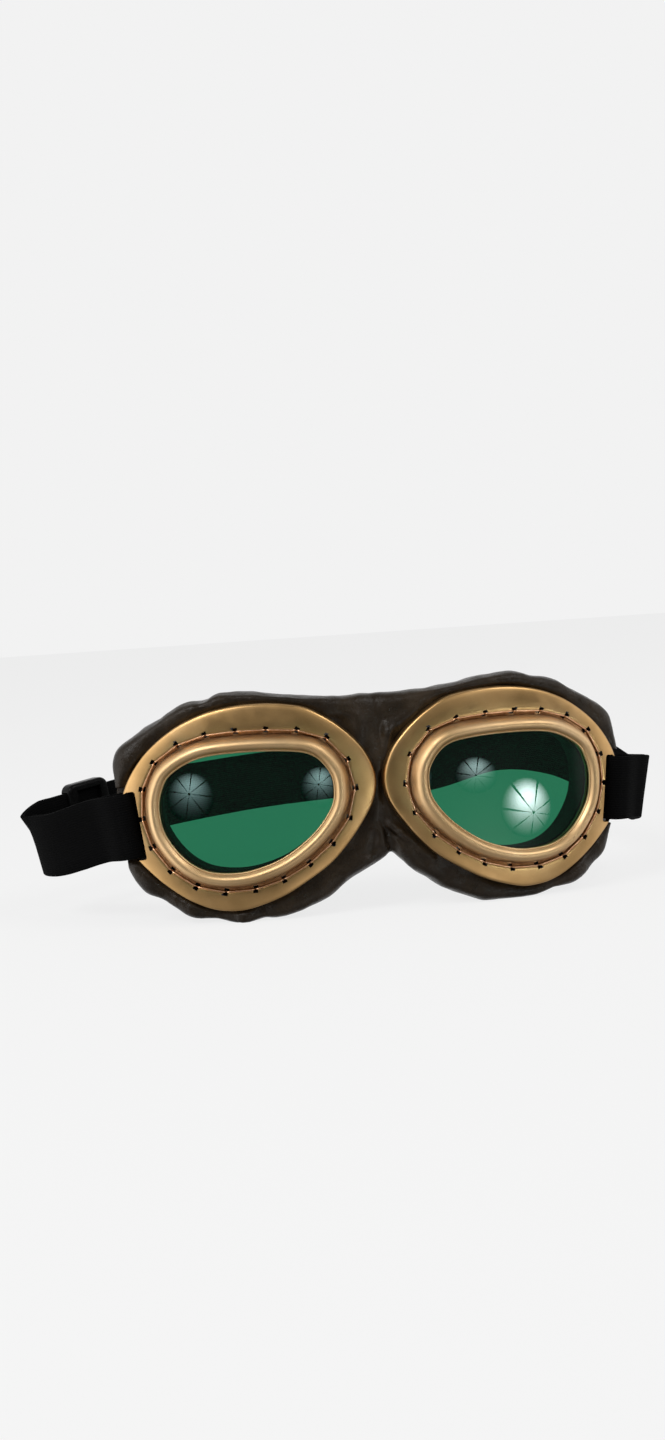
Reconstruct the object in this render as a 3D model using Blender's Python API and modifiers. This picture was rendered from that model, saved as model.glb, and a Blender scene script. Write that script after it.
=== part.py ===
"""Pilot goggles: two metal eyecups on a folding leather mask, with an elastic strap.

Metres, +Z up, front towards -Y. The goggles stand upright on the lower edges of their two pads,
and the origin is on the floor, in the middle of the space that they take up.
"""

import math

import bmesh
import bpy
import numpy as np
from mathutils import Matrix, Vector

# Mask
CUP_YAW = math.radians(10)
CLEARANCE = 0.0003
REST_CUT = 0.0005

# Curve of the eyecups, across and up
BEND_RADIUS = 0.160
RISE_RADIUS = 0.450

# Strap slot in the flange's outer side, with the bar outside it
SLOT_OUT = 0.0422
SLOT_WIDTH = 0.0046
SLOT_LENGTH = 0.0264
SLOT_DROP = 0.0040
SLOT_LEAN = math.radians(6.5)
SLOT_ROOM = 0.0018
BAR_WIDTH = 0.0040
BAR_HEIGHT = 0.0019
BAR_ROOM = 0.0003

# Groove round the bezel
GROOVE_OUTER = 0.0074
GROOVE_ROUNDING = 0.0004

# Lens opening, about the middle of the lens, the nose at the right
OPENING_HALF_WIDTH = SLOT_OUT - GROOVE_OUTER - SLOT_ROOM
OPENING_HALF_HEIGHT = 0.0226
OPENING_SHARES = [
    (-0.99, 0.09), (-0.95, 0.41), (-0.83, 0.68), (-0.51, 0.92), (-0.07, 0.99), (0.47, 0.97),
    (0.78, 0.87), (0.96, 0.58), (1.00, 0.28), (0.95, -0.03), (0.74, -0.42), (0.42, -0.76),
    (0.10, -0.94), (-0.19, -1.00), (-0.50, -0.94), (-0.75, -0.71), (-0.94, -0.31),
]

# Frame: a pressed flange with a shelf under the lens and a groove round the bezel
FLANGE_HALF_WIDTH = SLOT_OUT + SLOT_WIDTH / 2 + BAR_WIDTH + BAR_ROOM
FLANGE_HALF_HEIGHT = 0.0385
FLANGE_SHARES = [
    (-0.995, 0.05), (-0.955, 0.27), (-0.845, 0.50), (-0.687, 0.70), (-0.464, 0.885), (-0.203, 1.00),
    (0.10, 1.04), (0.432, 0.995), (0.618, 0.888), (0.777, 0.733), (0.902, 0.557), (0.973, 0.379),
    (1.00, 0.204), (0.972, 0.02), (0.896, -0.155), (0.771, -0.370), (0.627, -0.56), (0.436, -0.725),
    (0.225, -0.872), (-0.02, -0.972), (-0.149, -0.99), (-0.321, -0.96), (-0.50, -0.865),
    (-0.677, -0.71), (-0.81, -0.56), (-0.90, -0.43), (-0.967, -0.25),
]
SHEET = 0.0012
SHELF_INSET = 0.0009
FLANGE_CROWN = 0.0040
FLANGE_LIP = 0.0009
CROWN_SHARES = [(0.0, 0.94), (0.15, 1.0), (0.45, 0.98), (0.70, 0.84), (0.90, 0.54)]
RIM_SHARE = 0.96

# Lacing: small slots in the groove's floor, and the wire that runs over them
LACING_SLOTS = 20
LACING_SLOT_LENGTH = 0.0016
LACING_SLOT_WIDTH = 0.0007
LACING_START = math.radians(73)
LACING_WIRE_RADIUS = 0.0004

# Bezel: a half-round ring with an inner lip over the lens
BEZEL_WIDTH = 0.0054
BEZEL_RISE = 0.0028
BEZEL_LIP = 0.0010
BEZEL_SHOULDER = 0.0005
BEZEL_SHARES = [(0.17, 0.42), (0.23, 0.28), (0.31, 0.74), (0.48, 1.0), (0.68, 0.96), (0.87, 0.66), (0.97, 0.20)]

# Lens and gasket
LENS_THICKNESS = 0.0018
LENS_OVERLAP = 0.0042
LENS_RING_SHARES = [1.0, 0.68, 0.34]
GASKET_THICKNESS = 0.0011
GASKET_INSET = 0.0013

# Backing ring and eyecup liner
BACKING_THICKNESS = 0.0010
BACKING_INSET = 0.0014
LINER_WALL = 0.0012
LINER_INSET = 0.0010
LINER_DEPTH_SHARE = 0.80

# Leather pad: a padded roll round each eye, from its inner wall to the edge that stands out of the flange
PAD_STANDS_OUT = 0.0031
PAD_HALF_WIDTH = FLANGE_HALF_WIDTH + PAD_STANDS_OUT
PAD_HALF_HEIGHT = 0.0423
PAD_SHARES = [
    (-1.0, 0.02), (-0.985, 0.27), (-0.955, 0.47), (-0.89, 0.62), (-0.76, 0.75), (-0.59, 0.86),
    (-0.39, 0.965), (-0.25, 0.995), (-0.12, 1.04), (0.09, 1.035), (0.39, 0.985), (0.70, 0.955),
    (0.97, 0.93), (1.0, 0.60), (1.0, 0.20), (0.99, -0.20), (0.96, -0.44), (0.865, -0.56), (0.71, -0.69),
    (0.53, -0.855), (0.31, -0.965), (0.05, -1.02), (-0.19, -1.01), (-0.40, -0.965), (-0.58, -0.85),
    (-0.77, -0.72), (-0.85, -0.555), (-0.95, -0.29),
]
PADS_SHARE = 0.0017
CUP_HALF_SPACING = PAD_HALF_WIDTH - PADS_SHARE
PAD_DEPTH = 0.0145
PAD_TEMPLE_DEPTH = 0.0040
PAD_INNER_INSET = 0.0026
PAD_BULGE = 0.0012
PAD_EDGE_WIDTH = 0.0040
PAD_FRONT_SHARES = [(0.18, 0.0), (0.38, 0.65), (0.66, 1.0), (0.90, 0.10)]
PAD_BACK_SHARES = [
    (1.0, 0.14), (1.0, 0.45), (1.0, 0.74), (0.92, 0.90), (0.70, 0.98), (0.40, 1.0), (0.12, 0.97), (0.0, 0.85),
]

# Face foam on the back of each pad
FOAM_THICKNESS = 0.0040
FOAM_NOSE_GAP = 0.0100
FOAM_SHARES = [(0.15, 0.0), (0.70, 0.0), (0.78, 0.40), (0.62, 1.0), (0.30, 1.0), (0.10, 0.45)]

# Nose bridge: the strip of leather between the pads
BRIDGE_HALF_WIDTH = 0.0030
BRIDGE_DEPTH = 0.0050
BRIDGE_TOP = 0.0392
BRIDGE_BOTTOM = 0.0205
BRIDGE_FRONT = -0.0005
BRIDGE_ROUNDING = 0.0012
FOLD_AXIS_DEPTH = 0.0030

# Elastic strap. The route's points are shares of its reach to a side, its reach back and its fall
# below the slots.
STRAP_WIDTH = 0.0250
STRAP_THICKNESS = 0.0013
LAYER_GAP = 0.0004
WRAP_RADIUS = 0.0039
SPREAD_LENGTH = 0.0110
BEND_PAST_LEFT_BAR = 0.0323
BEND_PAST_RIGHT_BAR = 0.0158
REACH_LEFT = CUP_HALF_SPACING + SLOT_OUT + SLOT_WIDTH / 2 + BAR_WIDTH + BEND_PAST_LEFT_BAR
REACH_RIGHT = CUP_HALF_SPACING + SLOT_OUT + SLOT_WIDTH / 2 + BAR_WIDTH + BEND_PAST_RIGHT_BAR
REACH_BACK = 0.1300
STRAP_FALL = 0.0100
LEFT_LEAN = math.radians(12.5)
RIGHT_LEAN = math.radians(12)
LEFT_LEAN_SHARES = [(0.10, 0.30), (0.22, 0.85), (0.34, 1.0), (0.385, 0.50), (0.62, 0.50), (0.90, 0.0)]
RIGHT_LEAN_SHARES = [(0.10, 0.50), (0.22, 0.85), (0.34, 1.0), (0.90, 0.0)]
LEFT_BEND_SHARES = [(0.817, 0.1545, 0.23), (0.93, 0.238, 0.75), (0.988, 0.305, 0.90), (1.0, 0.349, 0.80)]
SLIDER_SHARES = (0.8435, 0.469, 0.25)
SLIDER_AIM_SHARES = (0.7343, 0.549, 0.07)
REAR_SHARES = [
    (-0.50, 0.80, 0.03), (-0.27, 0.945, 0.0), (0.0, 1.0, -0.06), (0.34, 0.985, -0.06), (0.62, 0.91, -0.90),
    (0.82, 0.78, -0.75), (0.95, 0.59, 0.05), (1.0, 0.40, 0.68), (0.99, 0.28, 0.52),
]
RIGHT_BEND_SHARES = [(0.958, 0.168, 0.17)]
MIDDLE_SHARES = (-0.34, 0.42)
STATION = 0.0028

# Slider: two rails, two bars in front of the elastic and one behind it
SLIDER_LENGTH = 0.0195
SLIDER_BAR = 0.0040
SLIDER_RAIL = 0.0028
SLIDER_PLATE = 0.0016
SLIDER_FORWARD = 0.0060
SLIDER_BACKWARD = 0.0180
SLIDER_ROUNDING = 0.0005
SLIDER_MARGIN = 0.0010

# Channel in the pad for the strap
CHANNEL_LENGTH = 0.0200
CHANNEL_HEIGHT = 0.0140
CHANNEL_TILT = math.radians(16)
CHANNEL_SIDE = 0.0022

# Stations round a ring, and one overrun for all cuts
AROUND = 52
AROUND_SOFT = 40
OVERRUN = 0.0020
LIFT = 0.0500

OPENING = [(a * OPENING_HALF_WIDTH, b * OPENING_HALF_HEIGHT) for a, b in OPENING_SHARES]
FLANGE = [(a * FLANGE_HALF_WIDTH, b * FLANGE_HALF_HEIGHT) for a, b in FLANGE_SHARES]
PAD = [(a * PAD_HALF_WIDTH, b * PAD_HALF_HEIGHT) for a, b in PAD_SHARES]

# Heights in front of the back of the frame's shelf
GASKET_BACK = SHEET + CLEARANCE
LENS_BACK = GASKET_BACK + GASKET_THICKNESS + CLEARANCE
LENS_FRONT = LENS_BACK + LENS_THICKNESS
BEZEL_BASE = LENS_FRONT + CLEARANCE
BACKING_OUTER = GROOVE_OUTER - CLEARANCE
PAD_FRONT = -CLEARANCE
PAD_SEAT = -(CLEARANCE + BACKING_THICKNESS + CLEARANCE)


def clear_scene():
    for thing in list(bpy.data.objects):
        bpy.data.objects.remove(thing)


def collection(name):
    made = bpy.data.collections.new(name)
    bpy.context.scene.collection.children.link(made)
    return made


def material(name, colour, roughness, metallic=0.0):
    made = bpy.data.materials.new(name)
    made.use_nodes = True
    shader = made.node_tree.nodes["Principled BSDF"]
    shader.inputs["Base Color"].default_value = (*colour, 1.0)
    shader.inputs["Roughness"].default_value = roughness
    shader.inputs["Metallic"].default_value = metallic
    made.diffuse_color = (*colour, 1.0)
    return made


def spline(points, closed, spacing):
    """A smooth curve through the points, with a point about every spacing."""
    points = [Vector(point) for point in points]
    count = len(points)
    spans = count if closed else count - 1
    curve = []
    for index in range(spans):
        start, end = points[index], points[(index + 1) % count]
        before = points[index - 1] if closed or index else start
        after = points[(index + 2) % count] if closed or index + 2 < count else end
        leave = (end - before) / 2
        arrive = (after - start) / 2
        steps = max(1, round((end - start).length / spacing))
        for step in range(steps):
            t = step / steps
            curve.append(
                start * (2 * t**3 - 3 * t**2 + 1)
                + leave * (t**3 - 2 * t**2 + t)
                + end * (3 * t**2 - 2 * t**3)
                + arrive * (t**3 - t**2)
            )
    return curve if closed else curve + [points[-1]]


def ring(outline, offset=0.0, count=AROUND):
    """Points of an outline pushed out by offset, at equal angles about the middle of the lens."""
    width = max(point[0] for point in outline)
    curve = spline(outline, True, width / AROUND)
    pushed = []
    for index, point in enumerate(curve):
        along = curve[(index + 1) % len(curve)] - curve[index - 1]
        pushed.append(point + Vector((-along.y, along.x)).normalized() * offset)
    angles = np.array([math.atan2(point.y, point.x) for point in pushed])
    lengths = np.array([point.length for point in pushed])
    order = np.argsort(angles)
    targets = np.arange(count) * math.tau / count
    found = np.interp(targets, angles[order], lengths[order], period=math.tau)
    return [
        Vector((length * math.cos(angle), length * math.sin(angle)))
        for angle, length in zip(targets, found)
    ]


def blend(inner, outer, share):
    return [first.lerp(second, share) for first, second in zip(inner, outer)]


def sag(across, up):
    return across**2 / (2 * BEND_RADIUS) + up**2 / (2 * RISE_RADIUS)


def finish(name, shape, holder, parts, look):
    """Makes a node from a bmesh, its faces outwards and its round sides smooth."""
    bmesh.ops.recalc_face_normals(shape, faces=shape.faces)
    mesh = bpy.data.meshes.new(name)
    shape.to_mesh(mesh)
    shape.free()
    mesh.shade_smooth()
    mesh.set_sharp_from_angle(angle=math.radians(35))
    mesh.materials.append(look)
    made = bpy.data.objects.new(name, mesh)
    made.parent = holder
    parts.objects.link(made)
    return made


class Cup:
    """One eyecup: its empty, its side, and places on its curved surface."""

    def __init__(self, side, label, holder, parts):
        self.side = side
        self.label = label
        self.parts = parts
        self.empty = bpy.data.objects.new("eyecup_" + label, None)
        self.empty.location = Vector((side * CUP_HALF_SPACING, 0, 0)) - holder.location
        self.empty.rotation_euler.z = side * CUP_YAW
        self.empty.parent = holder
        parts.objects.link(self.empty)
        bpy.context.view_layer.update()

    def place(self, across, up, height):
        """The local place of a point on the cup: across towards the nose, up, and out from its surface."""
        return Vector((-self.side * across, sag(across, up) - height, up))

    def world(self, across, up, height):
        turn = Matrix.Rotation(self.side * CUP_YAW, 3, "Z")
        return turn @ self.place(across, up, height) + Vector((self.side * CUP_HALF_SPACING, 0, 0))

    def loft(self, name, sections, look):
        """A closed ring through the sections, each a loop of points with one height or one for each point."""
        shape = bmesh.new()
        loops = []
        for points, heights in sections:
            if isinstance(heights, float):
                heights = [heights] * len(points)
            loops.append(
                [shape.verts.new(self.place(point.x, point.y, height)) for point, height in zip(points, heights)]
            )
        for first, second in zip(loops, loops[1:] + loops[:1]):
            for index in range(len(first)):
                after = (index + 1) % len(first)
                shape.faces.new((first[index], first[after], second[after], second[index]))
        return finish(f"{name}_{self.label}", shape, self.empty, self.parts, look)


def cut(target, cutter, name):
    step = target.modifiers.new(name, "BOOLEAN")
    step.operation = "DIFFERENCE"
    step.object = cutter
    step.solver = "EXACT"


def cutter_from(name, shape, holder, cutters):
    bmesh.ops.recalc_face_normals(shape, faces=shape.faces)
    mesh = bpy.data.meshes.new(name)
    shape.to_mesh(mesh)
    shape.free()
    made = bpy.data.objects.new(name, mesh)
    made.parent = holder
    made.hide_render = True
    made.display_type = "WIRE"
    cutters.objects.link(made)
    return made


def add_box(shape, size, matrix):
    scale = Matrix.Diagonal((*size, 1.0))
    return bmesh.ops.create_cube(shape, size=1.0, matrix=matrix @ scale)["verts"]


def flange_section(share, height):
    """A loop on the flange, from its groove wall to its edge."""
    wall = ring(OPENING, GROOVE_OUTER + GROOVE_ROUNDING)
    return blend(wall, ring(FLANGE), share), height


def frame_solid(cup, look):
    edge = ring(FLANGE)
    sections = [
        (ring(OPENING, SHELF_INSET), SHEET),
        (ring(OPENING, GROOVE_OUTER), SHEET),
        (ring(OPENING, GROOVE_OUTER), FLANGE_CROWN * CROWN_SHARES[0][1] - GROOVE_ROUNDING),
    ]
    sections += [flange_section(share, FLANGE_CROWN * rise) for share, rise in CROWN_SHARES]
    sections += [(edge, FLANGE_LIP), (edge, 0.0), flange_section(RIM_SHARE, 0.0)]
    sections += [flange_section(share, FLANGE_CROWN * rise - SHEET) for share, rise in CROWN_SHARES[:0:-1]]
    inner = ring(OPENING, GROOVE_OUTER + SHEET)
    sections += [
        (inner, FLANGE_CROWN * CROWN_SHARES[0][1] - SHEET),
        (inner, 0.0),
        (ring(OPENING, SHELF_INSET), 0.0),
    ]
    return cup.loft("frame", sections, look)


def slot_matrix(cup, out):
    """Axes at a place on the flange beside the slot: x across, y to the back, z along the slot."""
    across, up = -out, -SLOT_DROP
    slope = math.atan(across / BEND_RADIUS)
    place = Matrix.Translation(cup.place(across, up, 0.0))
    lean = Matrix.Rotation(cup.side * SLOT_LEAN, 4, "Y")
    turn = Matrix.Rotation(-cup.side * slope, 4, "Z")
    return place @ turn @ lean


def slot_cutter(cup, cutters):
    shape = bmesh.new()
    depth = FLANGE_CROWN + OVERRUN
    add_box(shape, (SLOT_WIDTH, depth + depth, SLOT_LENGTH), slot_matrix(cup, SLOT_OUT))
    return cutter_from(f"strap_slot_cut_{cup.label}", shape, cup.empty, cutters)


def lacing_places(count):
    """Places at equal steps along the groove's middle line, the first at a lacing slot."""
    middle = (BEZEL_WIDTH + GROOVE_OUTER) / 2
    loop = ring(OPENING, middle, AROUND * 6)
    first = round(LACING_START / math.tau * len(loop))
    loop = loop[first:] + loop[: first + 1]
    travelled = np.concatenate(([0], np.cumsum([(b - a).length for a, b in zip(loop, loop[1:])])))
    wanted = np.arange(count) / count * travelled[-1]
    across = np.interp(wanted, travelled, [point.x for point in loop])
    up = np.interp(wanted, travelled, [point.y for point in loop])
    return list(zip(across, up))


def lacing_cutter(cup, cutters):
    shape = bmesh.new()
    for across, up in lacing_places(LACING_SLOTS):
        turn = Matrix.Rotation(-math.atan2(up, -cup.side * across), 4, "Y")
        place = Matrix.Translation(cup.place(across, up, 0.0))
        add_box(shape, (LACING_SLOT_LENGTH, SHEET * 4, LACING_SLOT_WIDTH), place @ turn)
    return cutter_from(f"lacing_slot_cut_{cup.label}", shape, cup.empty, cutters)


def lacing_wire(cup, look):
    """The thin wire that runs in the groove, with one bend at each slot and one between."""
    data = bpy.data.curves.new(f"lacing_wire_{cup.label}", "CURVE")
    data.dimensions = "3D"
    data.bevel_depth = LACING_WIRE_RADIUS
    data.bevel_resolution = 1
    height = SHEET + CLEARANCE + LACING_WIRE_RADIUS
    points = [cup.place(across, up, height) for across, up in lacing_places(LACING_SLOTS * 2)]
    line = data.splines.new("POLY")
    line.points.add(len(points) - 1)
    for index, point in enumerate(points):
        line.points[index].co = (*point, 1.0)
    line.use_cyclic_u = True
    data.materials.append(look)
    made = bpy.data.objects.new(data.name, data)
    made.parent = cup.empty
    cup.parts.objects.link(made)


def bezel_solid(cup, look):
    inner = LENS_OVERLAP + CLEARANCE
    crest = [(ring(OPENING, BEZEL_WIDTH * share), BEZEL_BASE + BEZEL_RISE * rise) for share, rise in BEZEL_SHARES]
    sections = [(ring(OPENING), BEZEL_BASE), (ring(OPENING), BEZEL_BASE + BEZEL_LIP), *crest]
    sections += [
        (ring(OPENING, BEZEL_WIDTH), BEZEL_BASE - BEZEL_SHOULDER),
        (ring(OPENING, BEZEL_WIDTH), GASKET_BACK),
        (ring(OPENING, inner), GASKET_BACK),
        (ring(OPENING, inner), BEZEL_BASE),
    ]
    cup.loft("bezel", sections, look)


def lens_solid(cup, look):
    """A curved plate: rings of points and a middle point on each face."""
    edge = ring(OPENING, LENS_OVERLAP)
    shape = bmesh.new()
    faces = []
    for height in (LENS_FRONT, LENS_BACK):
        loops = [
            [shape.verts.new(cup.place(point.x * share, point.y * share, height)) for point in edge]
            for share in LENS_RING_SHARES
        ]
        middle = shape.verts.new(cup.place(0, 0, height))
        faces.append(loops[0])
        for index in range(len(edge)):
            after = (index + 1) % len(edge)
            for outer, inner in zip(loops, loops[1:]):
                shape.faces.new((outer[index], outer[after], inner[after], inner[index]))
            shape.faces.new((loops[-1][index], loops[-1][after], middle))
    for index in range(len(edge)):
        after = (index + 1) % len(edge)
        shape.faces.new((faces[0][index], faces[0][after], faces[1][after], faces[1][index]))
    finish(f"lens_{cup.label}", shape, cup.empty, cup.parts, look)


def flat_ring(cup, name, inner, outer, back, front, look):
    inside = ring(OPENING, inner, AROUND_SOFT)
    outside = ring(OPENING, outer, AROUND_SOFT)
    cup.loft(name, [(inside, front), (outside, front), (outside, back), (inside, back)], look)


def pad_depths(points, share):
    """Depth behind the front for each point: deeper at the temple, shallower at the nose."""
    return [-share * (PAD_DEPTH - PAD_TEMPLE_DEPTH * point.normalized().x) for point in points]


def pad_solid(cup, look):
    flange = ring(FLANGE, 0.0, AROUND_SOFT)
    outline = ring(PAD, 0.0, AROUND_SOFT)
    inner = ring(OPENING, PAD_INNER_INSET, AROUND_SOFT)
    stand = [
        min(1.0, max(0.0, (out.length - edge.length) / PAD_EDGE_WIDTH)) for out, edge in zip(outline, flange)
    ]
    seam = [
        out.normalized() * min(edge.length, out.length - PAD_EDGE_WIDTH / 8) for out, edge in zip(outline, flange)
    ]
    step = ring(OPENING, BACKING_OUTER + CLEARANCE, AROUND_SOFT)
    ledge = ring(OPENING, BACKING_OUTER + CLEARANCE + CLEARANCE, AROUND_SOFT)
    sections = [(inner, PAD_SEAT), (step, PAD_SEAT), (ledge, PAD_FRONT)]
    for share, rise in PAD_FRONT_SHARES:
        heights = [PAD_FRONT + PAD_BULGE * rise * level for level in stand]
        sections.append((blend(seam, outline, share), heights))
    for share, depth in PAD_BACK_SHARES:
        sections.append((blend(inner, outline, share), pad_depths(outline, depth)))
    return cup.loft("leather_pad", sections, look)


def liner_solid(cup, look):
    inside = ring(OPENING, LINER_INSET, AROUND_SOFT)
    outside = ring(OPENING, LINER_INSET + LINER_WALL, AROUND_SOFT)
    depths = pad_depths(outside, LINER_DEPTH_SHARE)
    sections = [(inside, PAD_SEAT), (outside, PAD_SEAT), (outside, depths), (inside, depths)]
    cup.loft("eyecup_liner", sections, look)


def foam_solid(cup, look):
    nose = CUP_HALF_SPACING - FOAM_NOSE_GAP
    outline = [Vector((min(point.x, nose), point.y)) for point in ring(PAD, 0.0, AROUND_SOFT)]
    inner = ring(OPENING, PAD_INNER_INSET, AROUND_SOFT)
    floor = pad_depths(outline, 1.0)
    sections = [
        (blend(inner, outline, share), [depth - CLEARANCE - FOAM_THICKNESS * back for depth in floor])
        for share, back in FOAM_SHARES
    ]
    cup.loft("face_foam", sections, look)


def channel_cutter(cup, cutters):
    """The room that the leather leaves for the strap, behind the bar."""
    shape = bmesh.new()
    bar = slot_matrix(cup, SLOT_OUT + SLOT_WIDTH / 2 + BAR_WIDTH / 2)
    tilt = Matrix.Rotation(cup.side * CHANNEL_TILT, 4, "Z")
    floor = WRAP_RADIUS + STRAP_THICKNESS / 2 + CLEARANCE - BAR_HEIGHT
    inner = WRAP_RADIUS + STRAP_THICKNESS * 2
    corner = Matrix.Translation((-cup.side * inner, floor, 0))
    middle = Matrix.Translation((cup.side * CHANNEL_LENGTH / 2, -CHANNEL_HEIGHT / 2, 0))
    height = STRAP_WIDTH + CHANNEL_SIDE + CHANNEL_SIDE
    add_box(shape, (CHANNEL_LENGTH, CHANNEL_HEIGHT, height), bar @ corner @ tilt @ middle)
    return cutter_from(f"strap_channel_cut_{cup.label}", shape, cup.empty, cutters)


def floor_cutter(lowest, holder, cutters):
    shape = bmesh.new()
    place = Matrix.Translation((0, 0, lowest + REST_CUT - LIFT / 2))
    add_box(shape, ((REACH_LEFT + REACH_RIGHT) * 2, REACH_BACK * 4, LIFT), place)
    return cutter_from("floor_cut", shape, holder, cutters)


def nose_cutter(side, holder, cutters):
    """All that lies past a pad's nose wall, which stands beside the bridge."""
    shape = bmesh.new()
    size = (PAD_HALF_WIDTH, PAD_DEPTH * 4, PAD_HALF_HEIGHT * 4)
    middle = side * (BRIDGE_HALF_WIDTH + CLEARANCE - PAD_HALF_WIDTH / 2)
    add_box(shape, size, Matrix.Translation((middle, 0, 0)))
    return cutter_from("nose_cut", shape, holder, cutters)


def bridge_solid(holder, parts, look):
    """The strip of leather between the pads, a block with rounded edges."""
    shape = bmesh.new()
    size = (BRIDGE_HALF_WIDTH * 2, BRIDGE_DEPTH, BRIDGE_TOP + BRIDGE_BOTTOM)
    middle = (0, BRIDGE_FRONT + BRIDGE_DEPTH / 2, (BRIDGE_TOP - BRIDGE_BOTTOM) / 2)
    add_box(shape, size, Matrix.Translation(middle))
    made = finish("nose_bridge", shape, holder, parts, look)
    bevel = made.modifiers.new("soft edges", "BEVEL")
    bevel.width = BRIDGE_ROUNDING
    bevel.segments = 3


def route_point(shares, reach):
    x, y, z = shares
    return Vector((x * reach, y * REACH_BACK, -SLOT_DROP - z * STRAP_FALL))


def band_width(point, along):
    """The way the band's width runs at a point: upright, and leaning out at the sides."""
    side, lean, shares = (1, RIGHT_LEAN, RIGHT_LEAN_SHARES) if point.x > 0 else (-1, LEFT_LEAN, LEFT_LEAN_SHARES)
    depths, parts_of_lean = zip(*shares)
    angle = side * lean * float(np.interp(point.y / REACH_BACK, depths, parts_of_lean))
    upright = Vector((math.sin(angle), 0, math.cos(angle)))
    return (upright - along * along.dot(upright)).normalized()


def band_axes(points):
    """For each point of a route: its direction, the way the band faces, and the way its width runs."""
    axes = []
    for index, point in enumerate(points):
        before = points[max(index - 1, 0)]
        after = points[min(index + 1, len(points) - 1)]
        along = (after - before).normalized()
        width = band_width(point, along)
        axes.append((along, along.cross(width), width))
    return axes


def band_solid(name, stations, holder, parts, look, origin=Vector()):
    """A flat band through stations, each a middle point, the way it faces and the way its width runs."""
    shape = bmesh.new()
    loops = []
    for middle, facing, width in stations:
        thick, wide = facing * STRAP_THICKNESS / 2, width * STRAP_WIDTH / 2
        corners = (middle + thick + wide, middle + thick - wide, middle - thick - wide, middle - thick + wide)
        loops.append([shape.verts.new(corner - origin) for corner in corners])
    for first, second in zip(loops, loops[1:]):
        for index in range(4):
            after = (index + 1) % 4
            shape.faces.new((first[index], first[after], second[after], second[index]))
    shape.faces.new(loops[0])
    shape.faces.new(loops[-1])
    made = finish(name, shape, holder, parts, look)
    made.location = origin - holder.location
    return made


def loop_solid(name, stations, holder, parts, look):
    """The doubled band that goes out from a slot's bar: out along one layer, round the bar and back."""
    route = [station[0] for station in stations]
    axes = [station[1:] for station in stations]
    along = (route[1] - route[0]).normalized()
    travelled = 0.0
    front, back = [], []
    closed = (LAYER_GAP + STRAP_THICKNESS) / 2
    for index, (point, (facing, width)) in enumerate(zip(route, axes)):
        if index:
            travelled += (point - route[index - 1]).length
        share = min(1.0, max(0.0, (travelled - BAR_WIDTH / 2) / SPREAD_LENGTH))
        ease = share * share * (3 - 2 * share)
        apart = WRAP_RADIUS + (closed - WRAP_RADIUS) * ease
        front.append((point + facing * apart, facing, width))
        back.append((point - facing * apart, -facing, width))
    facing, width = axes[0]
    wrap = []
    steps = 8
    for step in range(1, steps):
        angle = math.pi * step / steps
        out = facing * math.cos(angle) - along * math.sin(angle)
        wrap.append((route[0] + out * WRAP_RADIUS, out, width))
    return band_solid(name, front[::-1] + wrap + back, holder, parts, look, route[0])


def slider_solid(middle, along, loop, parts, cutters, look):
    """A block with a tunnel for the elastic, one window in front and two behind: two rails and three bars."""
    width = band_width(middle, along)
    inside = LAYER_GAP + STRAP_THICKNESS * 2 + CLEARANCE * 2
    reach = STRAP_WIDTH + CLEARANCE * 2
    tall = reach + SLIDER_RAIL * 2
    thick = inside + SLIDER_PLATE * 2
    shape = bmesh.new()
    add_box(shape, (SLIDER_LENGTH, thick, tall), Matrix())
    made = finish("strap_slider", shape, loop, parts, look)
    axes = Matrix((along, width.cross(along), width)).transposed().to_4x4()
    made.matrix_local = Matrix.Translation(middle - loop.location) @ axes
    bevel = made.modifiers.new("rounded corners", "BEVEL")
    bevel.width = SLIDER_ROUNDING
    bevel.segments = 3
    window = SLIDER_LENGTH - SLIDER_BAR * 2
    half_window = (window - SLIDER_BAR) / 2
    aside = (SLIDER_BAR + half_window) / 2
    deep = thick / 2 + OVERRUN
    cuts = {
        "slider_tunnel_cut": [((SLIDER_LENGTH + OVERRUN, inside, reach), (0, 0, 0))],
        "slider_front_cut": [((window, deep, reach), (0, -deep / 2, 0))],
        "slider_back_cut": [((half_window, deep, reach), (way * aside, deep / 2, 0)) for way in (-1, 1)],
    }
    for name, boxes in cuts.items():
        shape = bmesh.new()
        for size, place in boxes:
            add_box(shape, size, Matrix.Translation(place))
        cut(made, cutter_from(name, shape, made, cutters), name)
    return made


def strap_route(left_bar, right_bar):
    """The whole route from bar to bar, and the places where it is divided."""
    middle = route_point(SLIDER_SHARES, -REACH_LEFT)
    aim = (route_point(SLIDER_AIM_SHARES, -REACH_LEFT) - middle).normalized()
    before = SLIDER_LENGTH / 2 + SLIDER_FORWARD + SLIDER_MARGIN
    after = SLIDER_LENGTH / 2 + SLIDER_BACKWARD + SLIDER_MARGIN
    left_bend = [route_point(shares, -REACH_LEFT) for shares in LEFT_BEND_SHARES]
    straight = [
        middle + aim * along for along in (-before - SLIDER_BAR, -before, 0.0, after, after + SLIDER_BAR)
    ]
    rear = [route_point(shares, REACH_LEFT if shares[0] < 0 else REACH_RIGHT) for shares in REAR_SHARES]
    right_bend = [route_point(shares, REACH_RIGHT) for shares in RIGHT_BEND_SHARES]
    route = spline([left_bar, *left_bend, *straight, *rear, *right_bend, right_bar], False, STATION)
    marks = [straight[3], right_bend[0]]
    ends = [min(range(len(route)), key=lambda index: (route[index] - mark).length) for mark in marks]
    for share, reach in zip(MIDDLE_SHARES, (REACH_LEFT, REACH_RIGHT)):
        ends.append(min(range(ends[0], ends[1]), key=lambda index: abs(route[index].x - share * reach)))
    return route, sorted(ends), middle, aim


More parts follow.
